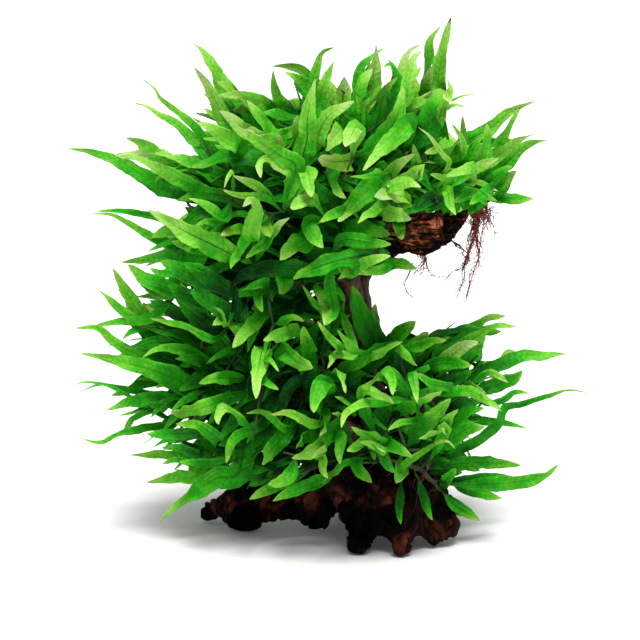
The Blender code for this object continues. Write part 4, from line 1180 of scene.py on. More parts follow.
# leaves measured in the photograph: width in pixels, shade, depth of the blade as a share of the
# plant's own depth there, and the pixels it runs through, from its tip
# the shade is how light the leaf looks, with the light and shade on it painted in
seenLeaves = [
    (13, 0.72, 0.5, (195, 67), (206, 84), (217, 103), (230, 127)),
    (8, 0.62, 0.95, (220, 141), (248, 148), (285, 158)),
    (13, 0.72, 1, (260, 177), (260, 164), (270, 160), (292, 173)),
    (6, 0.85, 0.9, (277, 133), (281, 141), (286, 149)),
    (8, 0.6, 0.5, (334, 62), (324, 84), (316, 112)),
    (15, 0.72, 0.95, (326, 150), (331, 141), (341, 127)),
    (14, 0.82, 0.95, (346, 147), (350, 139), (357, 127)),
    (15, 0.95, 1, (319, 163), (332, 161), (349, 160)),
    (17, 0.9, 0.3, (344, 76), (344, 92), (341, 112)),
    (8, 0.4, 0.6, (357, 96), (361, 108), (357, 126)),
    (9, 0.72, 0.4, (448, 79), (451, 90), (444, 105)),
    (5, 0.55, 0.8, (350, 177), (366, 177), (387, 174)),
    (22, 0.56, 1, (337, 224), (352, 206), (372, 187), (388, 172)),
    (12, 0.75, 1, (413, 155), (399, 164), (386, 182), (376, 194)),
    (11, 0.75, 1, (421, 187), (405, 182), (387, 188)),
    (13, 0.85, 1, (375, 196), (388, 194), (406, 198)),
    (14, 0.75, 1, (410, 218), (392, 212), (373, 206)),
    (8, 0.65, 1, (455, 215), (450, 204), (447, 191)),
    (9, 0.8, 1, (465, 210), (446, 208), (427, 207)),
    (7, 0.72, 1, (358, 223), (366, 216), (377, 209)),
    (7, 0.55, 0.9, (320, 222), (331, 215), (344, 210)),
    (18, 0.42, 1, (393, 231), (365, 230), (330, 229)),
    (11, 0.45, 0.9, (391, 245), (370, 243), (342, 240)),
    (9, 0.62, 0.95, (401, 241), (400, 230), (396, 218)),
    (9, 0.62, 1, (345, 200), (336, 188), (334, 171)),
    (6, 0.62, 0.8, (431, 174), (440, 177), (452, 181)),
    (9, 0.62, 0.8, (425, 153), (437, 149), (448, 142)),
    (8, 0.5, 0.7, (414, 145), (416, 158), (418, 173)),
    (9, 0.66, 0.95, (447, 177), (460, 171), (476, 167)),
    (7, 0.75, 0.95, (234, 175), (246, 181), (259, 188)),
    (4, 0.85, 0.9, (225, 187), (227, 179), (233, 172)),
    (5, 0.7, 0.95, (222, 190), (241, 196), (266, 198)),
    (14, 0.6, 1, (244, 207), (250, 201), (256, 211), (252, 238)),
    (6, 0.65, 1, (252, 232), (259, 228), (270, 233)),
    (13, 0.55, 1, (323, 247), (315, 238), (309, 223)),
    (12, 0.75, 1, (290, 208), (300, 203), (312, 199)),
    (9, 0.82, 1, (221, 235), (231, 231), (245, 232)),
    (8, 0.8, 1, (290, 216), (279, 224), (266, 241)),
    (6, 0.55, 0.5, (204, 202), (211, 209), (221, 218)),
    (7, 0.5, 0.9, (246, 258), (256, 249), (266, 241)),
    (9, 0.5, 0.9, (231, 268), (236, 256), (244, 244)),
    (11, 0.5, 0.4, (487, 124), (487, 142), (481, 164)),
    (9, 0.36, 0.3, (512, 166), (500, 174), (486, 185)),
    (5, 0.75, 0.4, (498, 191), (488, 187), (474, 182)),
    (9, 0.6, 0.3, (76, 328), (98, 328), (114, 342), (135, 354)),
    (7, 0.55, 0.3, (95, 325), (120, 321), (152, 317)),
    (13, 0.85, 0.7, (143, 303), (155, 318), (177, 335)),
    (11, 0.5, 0.4, (121, 266), (146, 260), (172, 254), (202, 250)),
    (5, 0.4, 0.3, (148, 250), (163, 245), (184, 238)),
    (9, 0.45, 0.5, (150, 268), (160, 273), (178, 273)),
    (6, 0.6, 0.8, (150, 320), (185, 326), (214, 339)),
    (4, 0.6, 0.9, (215, 308), (222, 313), (227, 326)),
    (7, 0.7, 0.9, (359, 274), (372, 271), (389, 266)),
    (9, 0.55, 0.95, (339, 279), (347, 271), (359, 266)),
    (8, 0.88, 1, (324, 322), (326, 303), (315, 286)),
    (9, 0.5, 0.95, (326, 325), (334, 311), (329, 289)),
    (14, 0.46, 1, (303, 326), (309, 355), (308, 394)),
    (12, 0.66, 1, (265, 341), (281, 336), (301, 334)),
    (15, 0.62, 1, (311, 368), (297, 361), (283, 350)),
    (7, 0.76, 1, (328, 367), (336, 353), (353, 351)),
    (11, 0.76, 1, (232, 348), (247, 330), (265, 308)),
    (9, 0.45, 1, (264, 316), (259, 298), (266, 274)),
    (8, 0.62, 1, (304, 321), (292, 318), (281, 323)),
    (6, 0.45, 0.9, (304, 290), (314, 303), (325, 317)),
    (7, 0.52, 0.9, (318, 322), (328, 336), (339, 350)),
    (8, 0.52, 0.9, (337, 331), (347, 341), (359, 352)),
    (4, 0.66, 0.95, (279, 372), (272, 362), (264, 357)),
    (9, 0.38, 0.9, (243, 291), (252, 285), (264, 282)),
    (4, 0.4, 0.2, (119, 416), (131, 413), (148, 409)),
    (9, 0.6, 0.3, (130, 457), (155, 454), (198, 451)),
    (9, 0.38, 0.4, (162, 449), (180, 448), (204, 457)),
    (6, 0.5, 0.4, (162, 464), (175, 460), (196, 463)),
    (12, 0.72, 0.8, (171, 411), (186, 411), (205, 407)),
    (10, 0.6, 0.9, (200, 382), (220, 378), (247, 375)),
    (9, 0.86, 1, (218, 424), (219, 416), (227, 409)),
    (10, 0.28, 0.5, (147, 434), (172, 434), (208, 431)),
    (10, 0.5, 0.7, (176, 424), (198, 426), (219, 440)),
    (15, 0.78, 1, (255, 397), (257, 376), (263, 349)),
    (8, 0.42, 0.95, (277, 388), (268, 384), (261, 374)),
    (16, 0.48, 1, (313, 412), (316, 399), (325, 381)),
    (8, 0.76, 1, (323, 436), (326, 424), (322, 407)),
    (6, 0.65, 1, (247, 415), (260, 412), (273, 419), (288, 428)),
    (7, 0.68, 1, (271, 415), (290, 413), (316, 425)),
    (8, 0.62, 1, (226, 461), (235, 439), (263, 421)),
    (14, 0.6, 1, (261, 464), (271, 451), (283, 436)),
    (11, 0.5, 1, (296, 447), (303, 437), (318, 430)),
    (14, 0.66, 1, (292, 459), (315, 449), (339, 427)),
    (5, 0.9, 1, (312, 458), (317, 452), (326, 446)),
    (5, 0.76, 1, (333, 414), (347, 412), (374, 417)),
    (8, 0.7, 1, (341, 427), (347, 413), (372, 402)),
    (5, 0.5, 0.9, (335, 397), (344, 401), (355, 412)),
    (8, 0.75, 1, (328, 478), (323, 470), (322, 457)),
    (6, 0.7, 1, (326, 481), (335, 472), (344, 463)),
    (6, 0.8, 1, (361, 442), (371, 444), (386, 451)),
    (8, 0.65, 1, (346, 451), (354, 448), (365, 442)),
    (9, 0.55, 0.9, (340, 464), (339, 452), (341, 437)),
    (10, 0.66, 1, (373, 483), (362, 473), (357, 462)),
    (9, 0.7, 0.95, (393, 403), (382, 396), (360, 392)),
    (10, 0.6, 0.95, (352, 428), (366, 434), (385, 444)),
    (6, 0.6, 0.9, (364, 385), (371, 382), (382, 377)),
    (10, 0.62, 1, (401, 340), (372, 357), (350, 368), (329, 382)),
    (17, 0.5, 0.4, (416, 320), (405, 330), (396, 347)),
    (18, 0.58, 0.5, (428, 332), (418, 341), (406, 354)),
    (5, 0.4, 0.2, (457, 321), (446, 329), (431, 340)),
    (13, 0.5, 0.3, (506, 317), (487, 319), (468, 331), (432, 345)),
    (12, 0.58, 0.4, (516, 322), (490, 328), (466, 343), (436, 357)),
    (11, 0.55, 0.2, (565, 353), (520, 357), (498, 366), (474, 377)),
    (13, 0.42, 0.3, (525, 365), (510, 380), (480, 395)),
    (5, 0.75, 0.5, (508, 383), (500, 377), (487, 373)),
    (11, 0.72, 1, (440, 392), (421, 400), (396, 412)),
    (16, 0.62, 1, (454, 395), (437, 412), (420, 428), (403, 440)),
    (8, 0.66, 0.8, (501, 411), (489, 402), (468, 391)),
    (9, 0.72, 0.9, (487, 392), (468, 388), (448, 390)),
    (12, 0.45, 0.7, (469, 364), (453, 364), (430, 367)),
    (8, 0.62, 0.6, (446, 340), (432, 341), (418, 346)),
    (8, 0.62, 0.95, (415, 366), (408, 357), (399, 349)),
    (9, 0.55, 0.95, (393, 395), (392, 381), (386, 369)),
    (7, 0.6, 0.95, (418, 402), (415, 388), (412, 372)),
    (8, 0.5, 0.9, (416, 373), (430, 383), (450, 388)),
    (11, 0.3, 0.7, (484, 408), (468, 412), (448, 427)),
    (9, 0.6, 0.9, (457, 411), (450, 416), (440, 425)),
    (5, 0.5, 0.2, (530, 393), (515, 392), (503, 400), (489, 404)),
    (12, 0.56, 0.5, (484, 427), (468, 429), (451, 440)),
    (6, 0.4, 0.3, (527, 429), (508, 423), (488, 421), (467, 419)),
    (6, 0.7, 0.9, (389, 430), (400, 423), (417, 420)),
    (9, 0.76, 1, (421, 438), (435, 433), (447, 428)),
    (5, 0.75, 0.9, (456, 448), (448, 441), (436, 443), (414, 457), (400, 467)),
    (13, 0.6, 1, (396, 483), (401, 472), (411, 459)),
    (10, 0.55, 0.95, (412, 457), (400, 450), (389, 444)),
    (10, 0.3, 0.9, (395, 473), (388, 465), (384, 454)),
    (11, 0.5, 0.3, (521, 466), (490, 463), (433, 462)),
    (13, 0.5, 0.4, (557, 467), (540, 478), (505, 484), (446, 487)),
    (6, 0.3, 0.3, (512, 477), (485, 476), (456, 481)),
    (8, 0.45, 0.5, (501, 498), (484, 495), (461, 489)),
    (8, 0.5, 0.6, (456, 468), (449, 477), (440, 488)),
    (6, 0.45, 0.6, (466, 517), (450, 511), (437, 503), (430, 493)),
    (7, 0.4, 0.6, (178, 462), (205, 463), (228, 460)),
    (10, 0.58, 1, (250, 500), (266, 490), (286, 481)),
    (10, 0.62, 1, (268, 484), (278, 482), (290, 475)),
    (11, 0.55, 1, (273, 501), (290, 492), (310, 484), (328, 477)),
    (9, 0.55, 0.6, (172, 241), (192, 247), (224, 256)),
    (20, 0.55, 0.6, (193, 43), (203, 51), (213, 66), (221, 82), (232, 104)),
    (9, 0.8, 1, (247, 129), (254, 131), (262, 140)),
    (11, 0.5, 0.4, (272, 71), (273, 83), (277, 96), (288, 111), (312, 128)),
    (10, 0.62, 0.4, (273, 67), (286, 66), (299, 69), (309, 78), (318, 95)),
    (12, 0.5, 0.5, (334, 49), (323, 53), (318, 64), (313, 80), (308, 100)),
    (8, 0.32, 0.4, (383, 48), (371, 57), (361, 68), (357, 84), (357, 104)),
    (3, 0.5, 0.3, (478, 94), (465, 95), (452, 100), (442, 108)),
    (7, 0.75, 0.4, (465, 107), (456, 105), (447, 108), (438, 116)),
    (6, 0.6, 0.5, (462, 116), (463, 127), (464, 140), (458, 156)),
    (5, 0.6, 0.5, (452, 123), (457, 131), (463, 142), (462, 156)),
    (9, 0.5, 0.3, (522, 107), (514, 119), (506, 134), (494, 152), (480, 176)),
    (11, 0.45, 0.4, (548, 141), (534, 142), (518, 151), (504, 163), (484, 180)),
    (13, 0.62, 0.5, (516, 170), (509, 180), (503, 193)),
    (10, 0.58, 0.4, (533, 198), (518, 199), (504, 198), (494, 194)),
    (10, 0.75, 1, (386, 187), (396, 181), (407, 178), (420, 172)),
    (11, 0.55, 0.3, (99, 289), (111, 301), (128, 316), (150, 334)),
    (16, 0.66, 0.9, (179, 283), (196, 308), (210, 328), (226, 346)),
    (13, 0.45, 0.4, (128, 265), (150, 282), (186, 294)),
    # leaves painted near black: painted shade in the left neck
    (16, 0.25, 0.8, (160, 262), (180, 270), (206, 282)),
    (16, 0.15, 0.7, (184, 262), (204, 276), (230, 292)),
    (16, 0.12, 0.7, (190, 292), (208, 300), (232, 312)),
    (14, 0.12, 0.6, (176, 300), (192, 312), (216, 330)),
    (14, 0.14, 0.6, (168, 284), (184, 294), (208, 300)),
    (12, 0.75, 1, (214, 325), (226, 320), (242, 331)),
    (5, 0.65, 0.8, (161, 314), (175, 311), (194, 313)),
    (12, 0.35, 0.5, (184, 206), (196, 216), (216, 227)),
    (6, 0.6, 0.8, (192, 222), (206, 222), (226, 227)),
    (9, 0.5, 0.7, (480, 521), (468, 513), (455, 505), (443, 493)),
    (6, 0.22, 0.8, (401, 524), (399, 508), (404, 488)),
    (7, 0.3, 0.8, (432, 520), (427, 508), (420, 490)),
    (12, 0.6, 1, (416, 268), (399, 263), (380, 267), (360, 276)),
    # leaves painted near black: painted shade between the leaves above the base
    (16, 0.12, 0.2, (230, 476), (250, 468), (278, 457)),
    (14, 0.1, 0.2, (250, 486), (268, 474), (294, 461)),
    (10, 0.25, 0.9, (470, 206), (478, 198), (490, 189)),
    (8, 0.3, 0.8, (452, 203), (462, 198), (476, 191)),
    (9, 0.18, 0.6, (488, 206), (481, 199), (468, 189)),
    (8, 0.5, 0.9, (497, 201), (488, 197), (474, 192)),
    (7, 0.6, 0.4, (144, 79), (155, 89), (161, 99), (184, 117), (197, 129), (212, 152), (224, 168)),
    (9, 0.55, 0.3, (136, 101), (147, 106), (160, 115), (176, 124), (194, 141), (214, 162)),
    (15, 0.64, 0.6, (197, 122), (212, 128), (226, 138), (240, 146)),
    (13, 0.62, 0.7, (120, 154), (135, 157), (152, 165), (173, 176), (193, 187), (214, 200), (238, 213)),
    (8, 0.5, 0.6, (93, 215), (112, 216), (128, 224), (146, 234), (172, 246), (204, 254)),
    (5, 0.3, 0.5, (97, 213), (120, 211), (142, 213), (168, 220)),
    (22, 0.7, 0.8, (149, 209), (164, 218), (186, 232), (206, 242), (234, 257)),
    (8, 0.55, 0.7, (190, 198), (204, 204), (224, 218)),
    (5, 0.38, 0.2, (79, 392), (91, 386), (105, 384), (121, 388), (139, 392), (168, 396)),
    (3, 0.4, 0.2, (73, 384), (83, 381), (97, 383), (120, 391)),
    (13, 0.42, 0.5, (107, 408), (122, 405), (138, 401), (156, 398), (188, 403)),
    (4, 0.35, 0.2, (123, 429), (130, 422), (140, 416), (152, 410)),
    (7, 0.5, 0.2, (80, 438), (92, 442), (103, 442), (118, 434), (134, 431), (150, 427), (174, 423)),
    (10, 0.58, 0.7, (142, 356), (156, 349), (173, 348), (192, 353), (210, 364), (230, 376)),
    (14, 0.7, 1, (499, 157), (470, 171), (440, 186), (406, 207)),
    (9, 0.66, 0.8, (172, 470), (188, 473), (204, 475), (220, 470), (240, 468), (258, 468)),
    (15, 0.58, 0.5, (148, 482), (162, 480), (178, 476), (198, 470)),
    (23, 0.5, 0.8, (160, 521), (172, 510), (185, 499), (200, 487), (217, 476), (240, 466)),
    # leaves painted near black: painted shade over the arm's top
    (12, 0.06, 0.5, (425, 213), (440, 201), (460, 191)),
    (12, 0.06, 0.5, (450, 215), (462, 205), (476, 194)),
    (10, 0.06, 0.4, (468, 215), (478, 204), (488, 195)),
    (13, 0.8, 0.5, (419, 46), (409, 51), (404, 61), (401, 77), (403, 97)),
    (11, 0.74, 0.55, (421, 50), (414, 57), (412, 69), (409, 85), (406, 101)),
    (15, 0.3, 0.45, (386, 62), (393, 66), (396, 76), (395, 92), (391, 110)),
    (14, 0.85, 0.4, (377, 43), (376, 58), (374, 74), (372, 92), (369, 108)),
    (18, 0.5, 0.85, (395, 77), (387, 88), (382, 102), (379, 118), (371, 132), (357, 144)),
    (16, 0.48, 0.8, (404, 86), (402, 102), (398, 116), (390, 130), (378, 142)),
    (10, 0.8, 0.85, (432, 92), (423, 101), (412, 107), (404, 118)),
    (14, 0.75, 0.85, (354, 101), (341, 108), (328, 117), (320, 130), (317, 144)),
    (17, 0.6, 0.85, (315, 79), (312, 92), (309, 108), (307, 124), (307, 140), (304, 158)),
    (14, 0.58, 0.75, (296, 116), (297, 126), (299, 138), (305, 152)),
    (16, 0.58, 0.95, (364, 170), (372, 160), (382, 148), (395, 137), (410, 124)),
    (12, 0.7, 0.9, (216, 97), (236, 95), (255, 100), (270, 107), (288, 118)),
    (15, 0.56, 1, (235, 127), (248, 135), (265, 146), (282, 157), (296, 168)),
    (14, 0.5, 0.85, (246, 101), (255, 112), (267, 125), (280, 139)),
    (13, 0.8, 0.9, (221, 111), (233, 119), (246, 131)),
    (16, 0.62, 1, (312, 195), (310, 185), (306, 172)),
    (20, 0.74, 1, (279, 257), (290, 249), (303, 241), (316, 233)),
    # leaves painted near black: painted shade over the arm's top
    (12, 0.05, 0.6, (412, 213), (421, 205), (433, 197)),
    (12, 0.05, 0.55, (417, 208), (428, 201), (441, 193)),
    (9, 0.05, 0.6, (404, 214), (412, 208), (424, 200)),
    (13, 0.52, 0.5, (286, 72), (296, 79), (305, 87), (313, 98)),
    (20, 0.28, 0.6, (443, 91), (434, 103), (430, 116), (427, 132)),
    # leaves painted near black: painted shade by the trunk and above the base
    (14, 0.12, 0.1, (332, 302), (312, 305), (294, 306), (276, 312)),
    (14, 0.1, 0.05, (274, 301), (292, 303), (308, 309), (326, 317)),
    (12, 0.12, 0, (298, 320), (310, 307), (324, 296)),
    (12, 0.08, 0.3, (212, 463), (230, 456), (248, 450)),
    (12, 0.08, 0.3, (238, 479), (256, 474), (274, 469)),
    (12, 0.08, 0.3, (266, 477), (284, 467), (302, 458)),
    (12, 0.08, 0.3, (218, 445), (234, 440), (252, 436)),
    (12, 0.3, 0.45, (384, 67), (391, 65), (396, 78), (395, 96)),
    (15, 0.58, 0.6, (449, 18), (443, 48), (440, 78), (434, 110)),
    (15, 0.42, 0.5, (440, 26), (431, 40), (428, 64), (422, 94)),
    (20, 0.56, 0.85, (82, 354), (102, 357), (124, 362), (148, 368), (172, 378), (194, 392), (220, 411)),
    (8, 0.42, 0.35, (587, 393), (568, 391), (550, 396), (522, 404), (505, 408), (500, 422), (488, 434),
     (466, 446), (440, 455)),
    (17, 0.56, 0.4, (113, 270), (126, 292), (140, 316), (158, 342)),
    (9, 0.66, 0.4, (536, 134), (516, 142), (494, 158), (470, 170)),
    (11, 0.56, 0.35, (533, 101), (508, 112), (490, 128), (458, 150)),
    (4, 0.85, 0.9, (419, 128), (428, 135), (437, 146), (444, 156), (449, 164)),
    # leaves painted near black: painted shade in the gaps of the plant
    (14, 0.1, 0.05, (312, 284), (295, 290), (278, 298)),
    (12, 0.1, 0, (314, 310), (330, 321), (342, 336)),
    (12, 0.12, 0.2, (150, 300), (170, 310), (192, 318)),
    (11, 0.12, 0.3, (472, 371), (456, 379), (438, 384)),
    (11, 0.12, 0.3, (484, 400), (468, 404), (448, 409)),
    (12, 0.1, 0.3, (450, 461), (432, 462), (414, 463)),
    (10, 0.1, 0.3, (462, 473), (444, 470), (426, 468)),
    (8, 0.75, 0.5, (454, 103), (447, 99), (436, 95)),
    (9, 0.3, 0.4, (480, 137), (474, 146), (466, 158)),
    (19, 0.44, 1, (293, 279), (312, 269), (336, 261), (361, 256)),
    (9, 0.8, 1, (390, 255), (368, 262), (347, 272)),
    (25, 0.28, 0.9, (352, 287), (357, 303), (363, 322), (374, 344)),
    (13, 0.36, 0.4, (69, 147), (78, 149), (87, 150), (108, 156), (128, 166), (150, 180), (172, 192),
     (205, 203)),
    (16, 0.5, 0.6, (128, 136), (142, 142), (154, 152), (165, 165)),
    (17, 0.5, 0.6, (163, 155), (184, 160), (206, 171), (232, 188)),
]


def insidePolygon(x, y, corners):
    inside = False
    for (x0, y0), (x1, y1) in zip(corners, corners[1:] + corners[:1]):
        if (y0 > y) != (y1 > y) and x < x0 + (y - y0) * (x1 - x0) / (y1 - y0):
            inside = not inside
    return inside


def insideOutline(point):
    return insidePolygon(*photoPixel(point), growth["outline"])


def anyDirection(rng):
    return Vector([rng.gauss(0, 1) for _ in range(3)]).normalized()


def shareIn(mass, point):
    middle, half = mass
    return math.sqrt(sum(((point[i] - middle[i]) / half[i]) ** 2 for i in range(3)))


def massOf(point):
    return min(growth["masses"].values(), key=lambda mass: shareIn(mass, point))


# 0 at the middle of the leafy mass, 1 at its surface
def depthShare(point):
    return shareIn(massOf(point), point)


# half the depth of the leafy mass at this place
def massDepth(point):
    middle, half = massOf(point)
    across, up = (point.x - middle.x) / half.x, (point.z - middle.z) / half.z
    return half.y * math.sqrt(max(0.06, 1 - across ** 2 - up ** 2))


# the way leaves run at a point: in the picture's plane as the photograph shows, and outwards
def flowAt(point, rng):
    x, y = photoPixel(point)
    right = up = total = 0.0
    for (px, py), (dx, dz) in growth["flow"]:
        weight = math.exp(-((x - px) ** 2 + (y - py) ** 2) / (2 * growth["flowReach"] ** 2)) + 1e-9
        right, up, total = right + dx * weight, up + dz * weight, total + weight
    middle, half = massOf(point)
    outwards = growth["flowOutwards"] * ((point.y - middle.y) / half.y)
    way = Vector((right / total, outwards, up / total)) + anyDirection(rng) * growth["strayFlow"]
    return way.normalized()


# lighter outwards, upwards and to the right: outwards and upwards partly younger leaves, partly painted light
# and shade
def toneAt(point, rng):
    tone = growth["tone"]
    light = tone["base"]
    for label, place in (("shell", depthShare(point)), ("height", point.z), ("rightward", point.x)):
        amount, low, high = tone[label]
        light += amount * softStep(place, low, high)
    return max(tone["least"], light + rng.gauss(0, tone["spread"]))


# the upper side of a blade that runs this way: between level and facing out of the plant
def upperFor(way, depth, face, rng):
    level = Vector((0, 0, 1)) - way * way.z
    facing = Vector((0, -1 if depth < 0 else 1, 0.25))
    upper = level.normalized() * (1 - face) + facing * face + anyDirection(rng) * growth["unevenFace"]
    return (upper - way * upper.dot(way)).normalized()


# a leaf from the stem's nearest fitting place to a tip inside the leafy mass
def fillingLeaf(tip, rng):
    middle, half = massOf(tip)
    way = flowAt(tip, rng)
    wanted = rng.uniform(*growth["fillLengths"])

    def cost(place):
        reach = tip - place["middle"]
        away = reach.length
        against = 1 - reach.dot(way) / max(away, 1e-6)
        return abs(away - wanted) + growth["flowPull"] * against + growth["crowding"] * place["leaves"]

    home = rng.choice(sorted(stemPlaces, key=cost)[:3])
    root = home["start"].lerp(home["end"], rng.random())
    reach = tip - root
    shortest, longest = growth["fillReach"]
    if not shortest < reach.length < longest:
        return None
    home["leaves"] += 1
    chord = reach.normalized()
    rise = Vector((0, 0, 1)) - chord * chord.z
    arch = rng.uniform(*growth["arch"]) * reach.length
    bend = (way - chord * way.dot(chord)) * (growth["bend"] * reach.length)
    outwards = home["out"] * (growth["outOfStem"] * reach.length)
    near, far = growth["archStops"]
    first = root + reach * near + outwards + rise * arch * growth["firstRise"] - bend
    second = root + reach * far + rise * arch - bend
    points = [root, first, second, tip]
    face = rng.uniform(*growth["fillFaces"])
    depth = (tip.y - middle.y) / half.y
    normals = [upperFor((b - a).normalized(), depth, face, rng) for a, b in zip(points, points[1:])]
    for i in (1, 2):
        normals[i] = (normals[i] + normals[i - 1]).normalized()
    width = rng.uniform(*growth["fillWidths"]) * (0.75 + 0.25 * reach.length / growth["usualReach"])
    # painted shade on the filling leaves on the viewer's side, behind the measured ones
    paintedShadeBehind = growth["paintedShadeBehind"] if depth < growth["paintedShadeBehindTo"] else 1
    return home["stem"], {"points": points, "normals": normals + [normals[-1]], "width": width,
                          "tone": toneAt(tip, rng) * paintedShadeBehind, "free": 1}


# upper sides that mostly turn to the viewer
def seenUppers(points, rng):
    face = rng.uniform(*growth["seenFaces"])
    uppers = []
    for a, b in zip(points, points[1:]):
        way = (b - a).normalized()
        level = (Vector((0, 0, 1)) - way * way.z).normalized()
        towards = (Vector((0, -1, 0)) + way * way.y).normalized()
        uppers.append((level * (1 - face) + towards * face).normalized())
    return uppers + [uppers[-1]]


# a measured leaf is the more drawn out, the more of its run is measured
def seenLook(row, rng):
    width, shade, share, *pixels = row
    base, slope = growth["seenWidening"]
    blunt, drawnOut = growth["seenBluntness"]
    bluntness = max(0.05, blunt - drawnOut * len(pixels)) * rng.uniform(0.7, 1.0)
    return {"width": width * studio["pixel"], "widening": base + slope * width, "tone": shade,
            "free": growth["seenFreedom"], "blunt": bluntness}


# a measured leaf that the solids hold: their leaf, with its tip and root, takes the measured line
def shapeHost(leaf, row, rng):
    width, shade, share, *pixels = row
    curve = [catmullRom(leaf["points"], i / 16) for i in range(17)]
    points = [curve[-1]]
    for pixel in pixels[1:]:
        near = min(curve, key=lambda point: math.dist(photoPixel(point), pixel))
        points.append(seenPoint(pixel, near.y))
    while len(points) > 2 and (points[-1] - curve[0]).length < growth["seenStalk"]:
        points.pop()
    points.append(curve[0])
    points.reverse()
    leaf.update(points=points, normals=seenUppers(points, rng), **seenLook(row, rng))


# one that they don't hold: its visible part lies over the mass, and its stalk runs to the nearest stem
def seenLeaf(row, rng):
    width, shade, share, *pixels = row
    points = []
    for i, pixel in enumerate(pixels):
        near = seenPoint(pixel, 0.0)
        sunk = share * (1 - growth["seenSlope"] * i / (len(pixels) - 1))
        points.append(seenPoint(pixel, massOf(near)[0].y - sunk * massDepth(near)))
    foot = points[-1]
    home = min(stemPlaces, key=lambda place: (place["middle"] - foot).length)
    home["leaves"] += 1
    points.append(home["middle"])
    points.reverse()
    return home["stem"], {"points": points, "normals": seenUppers(points, rng), **seenLook(row, rng)}


# true if the leaf stays inside the plant's outline and the solids' box, off the ground and the bare wood
def insideReach(leaf):
    low, high = cadBox
    room = growth["edgeRoom"]
    tip = leaf["points"][-1]
    if tip.z < growth["groundRoom"] or any(not low[i] + room <= tip[i] <= high[i] - room for i in range(3)):
        return False
    for share in (0.35, 0.55, 0.7, 0.85, 1.0):
        point = catmullRom(leaf["points"], share)
        pixel = photoPixel(point)
        if massOf(point)[0].y - point.y > growth["behind"] * massDepth(point):
            return False
        closed = growth["gaps"] + (growth["clear"] if point.y < growth["clearTo"] else [])
        if not insideOutline(point) or any(insidePolygon(*pixel, corners) for corners in closed):
            return False
    return True


def meetsWood(leaf):
    for s in (0.35, 0.55, 0.75, 0.9, 1.0):
        spot = catmullRom(leaf["points"], s)
        near, normal, index, away = woodSkin.find_nearest(spot)
        if away < growth["woodRoom"] or (spot - near).dot(normal) < 0:
            return True
    return False


# places spread evenly through the leafy masses, between two shares of the way to their surface
def spreadPlaces(gap, fromShare, toShare, rng):
    made = []
    for mass in growth["masses"].values():
        middle, half = mass
        ranges = [range(-int(half[i] / gap) - 1, int(half[i] / gap) + 2) for i in range(3)]
        for steps in itertools.product(*ranges):
            place = middle + Vector([(n + rng.uniform(-0.5, 0.5)) * gap for n in steps])
            if massOf(place) is mass and fromShare < shareIn(mass, place) < toShare:
                made.append(place)
    return made


# a stretch of stem that leaves can grow from, with the way out of it
def stemPlace(start, end, out, stem):
    return {"start": start, "end": end, "middle": start.lerp(end, 0.5), "out": out, "stem": stem, "leaves": 0}


# lengthwise edges of the bare stems
def bareStemPlaces():
    places = []
    for name, bm in stems.items():
        for edge in bm.edges:
            a, b = edge.verts
            if edge.calc_length() > growth["stemEdge"]:
                places.append(stemPlace(a.co.copy(), b.co.copy(), (a.normal + b.normal).normalized(), name))
    return places


# the path of a side branch to its end, or None where it would be too long, too short or in the wood
def branchPath(start, end):
    root = start["middle"]
    reach = end - root
    shortest, longest = growth["branchLengths"]
    if not shortest < reach.length < longest or not insideOutline(end) or end.z < growth["branchFloor"]:
        return None
    share, outwards, down = growth["branchBend"]
    bend = root + reach * share + start["out"] * (outwards * reach.length)
    bend = bend - Vector((0, 0, down * reach.length))
    path = evenPoints([root, bend, end], growth["branchStep"], 4, 20)[0]
    return None if any(woodSkin.find_nearest(point)[3] < growth["branchRoom"] for point in path[3:]) else path


allHosts = [leaf for leaves in hostLeaves.values() for leaf in leaves]
rng = random.Random(21)
for leaf in allHosts:
    leaf["tone"] = toneAt(leaf["points"][-1], rng) + growth["hostLighter"]

# side branches of the stems carry the leaves that fill the plant
mainPlaces = bareStemPlaces()
stemPlaces = list(mainPlaces)
branches = {name: [] for name in stems}
for end in spreadPlaces(growth["branchSpacing"], growth["branchFrom"], growth["branchTo"], rng):
    start = min(mainPlaces, key=lambda place: (place["middle"] - end).length)
    path = branchPath(start, end)
    if path:
        branches[start["stem"]].append(path)
        stemPlaces += [stemPlace(a, b, Vector((0, 0, 1)), start["stem"]) for a, b in zip(path[1:], path[2:])]
print("side branches:", {name: len(paths) for name, paths in branches.items()})

for pixel, share in growth["thinned"]:
    min(allHosts, key=lambda leaf: math.dist(photoPixel(leaf["points"][-1]), pixel))["width"] *= share

# each measured leaf is the solids' leaf with the same tip, or else a new one
grownLeaves = {name: [] for name in stems}
hostTips = [(photoPixel(leaf["points"][-1]), leaf) for leaf in allHosts
            if leaf["points"][-1].y < growth["frontTo"]]
matched = 0
for row in sorted(seenLeaves, key=lambda row: min(math.dist(tip, row[3]) for tip, leaf in hostTips)):
    near = min(hostTips, key=lambda pair: math.dist(pair[0], row[3]))
    if math.dist(near[0], row[3]) < growth["sameTip"]:
        shapeHost(near[1], row, rng)
        hostTips.remove(near)
        matched += 1
    else:
        name, leaf = seenLeaf(row, rng)
        grownLeaves[name].append(leaf)
print("measured leaves:", len(seenLeaves), "of which the solids hold", matched)

for tip in spreadPlaces(growth["spacing"], growth["fillFrom"], 1.0, rng):
    grown = fillingLeaf(tip, rng)
    if grown and insideReach(grown[1]) and not meetsWood(grown[1]):
        grownLeaves[grown[0]].append(grown[1])
print("leaves grown beside the solids' own:", {name: len(leaves) for name, leaves in grownLeaves.items()})


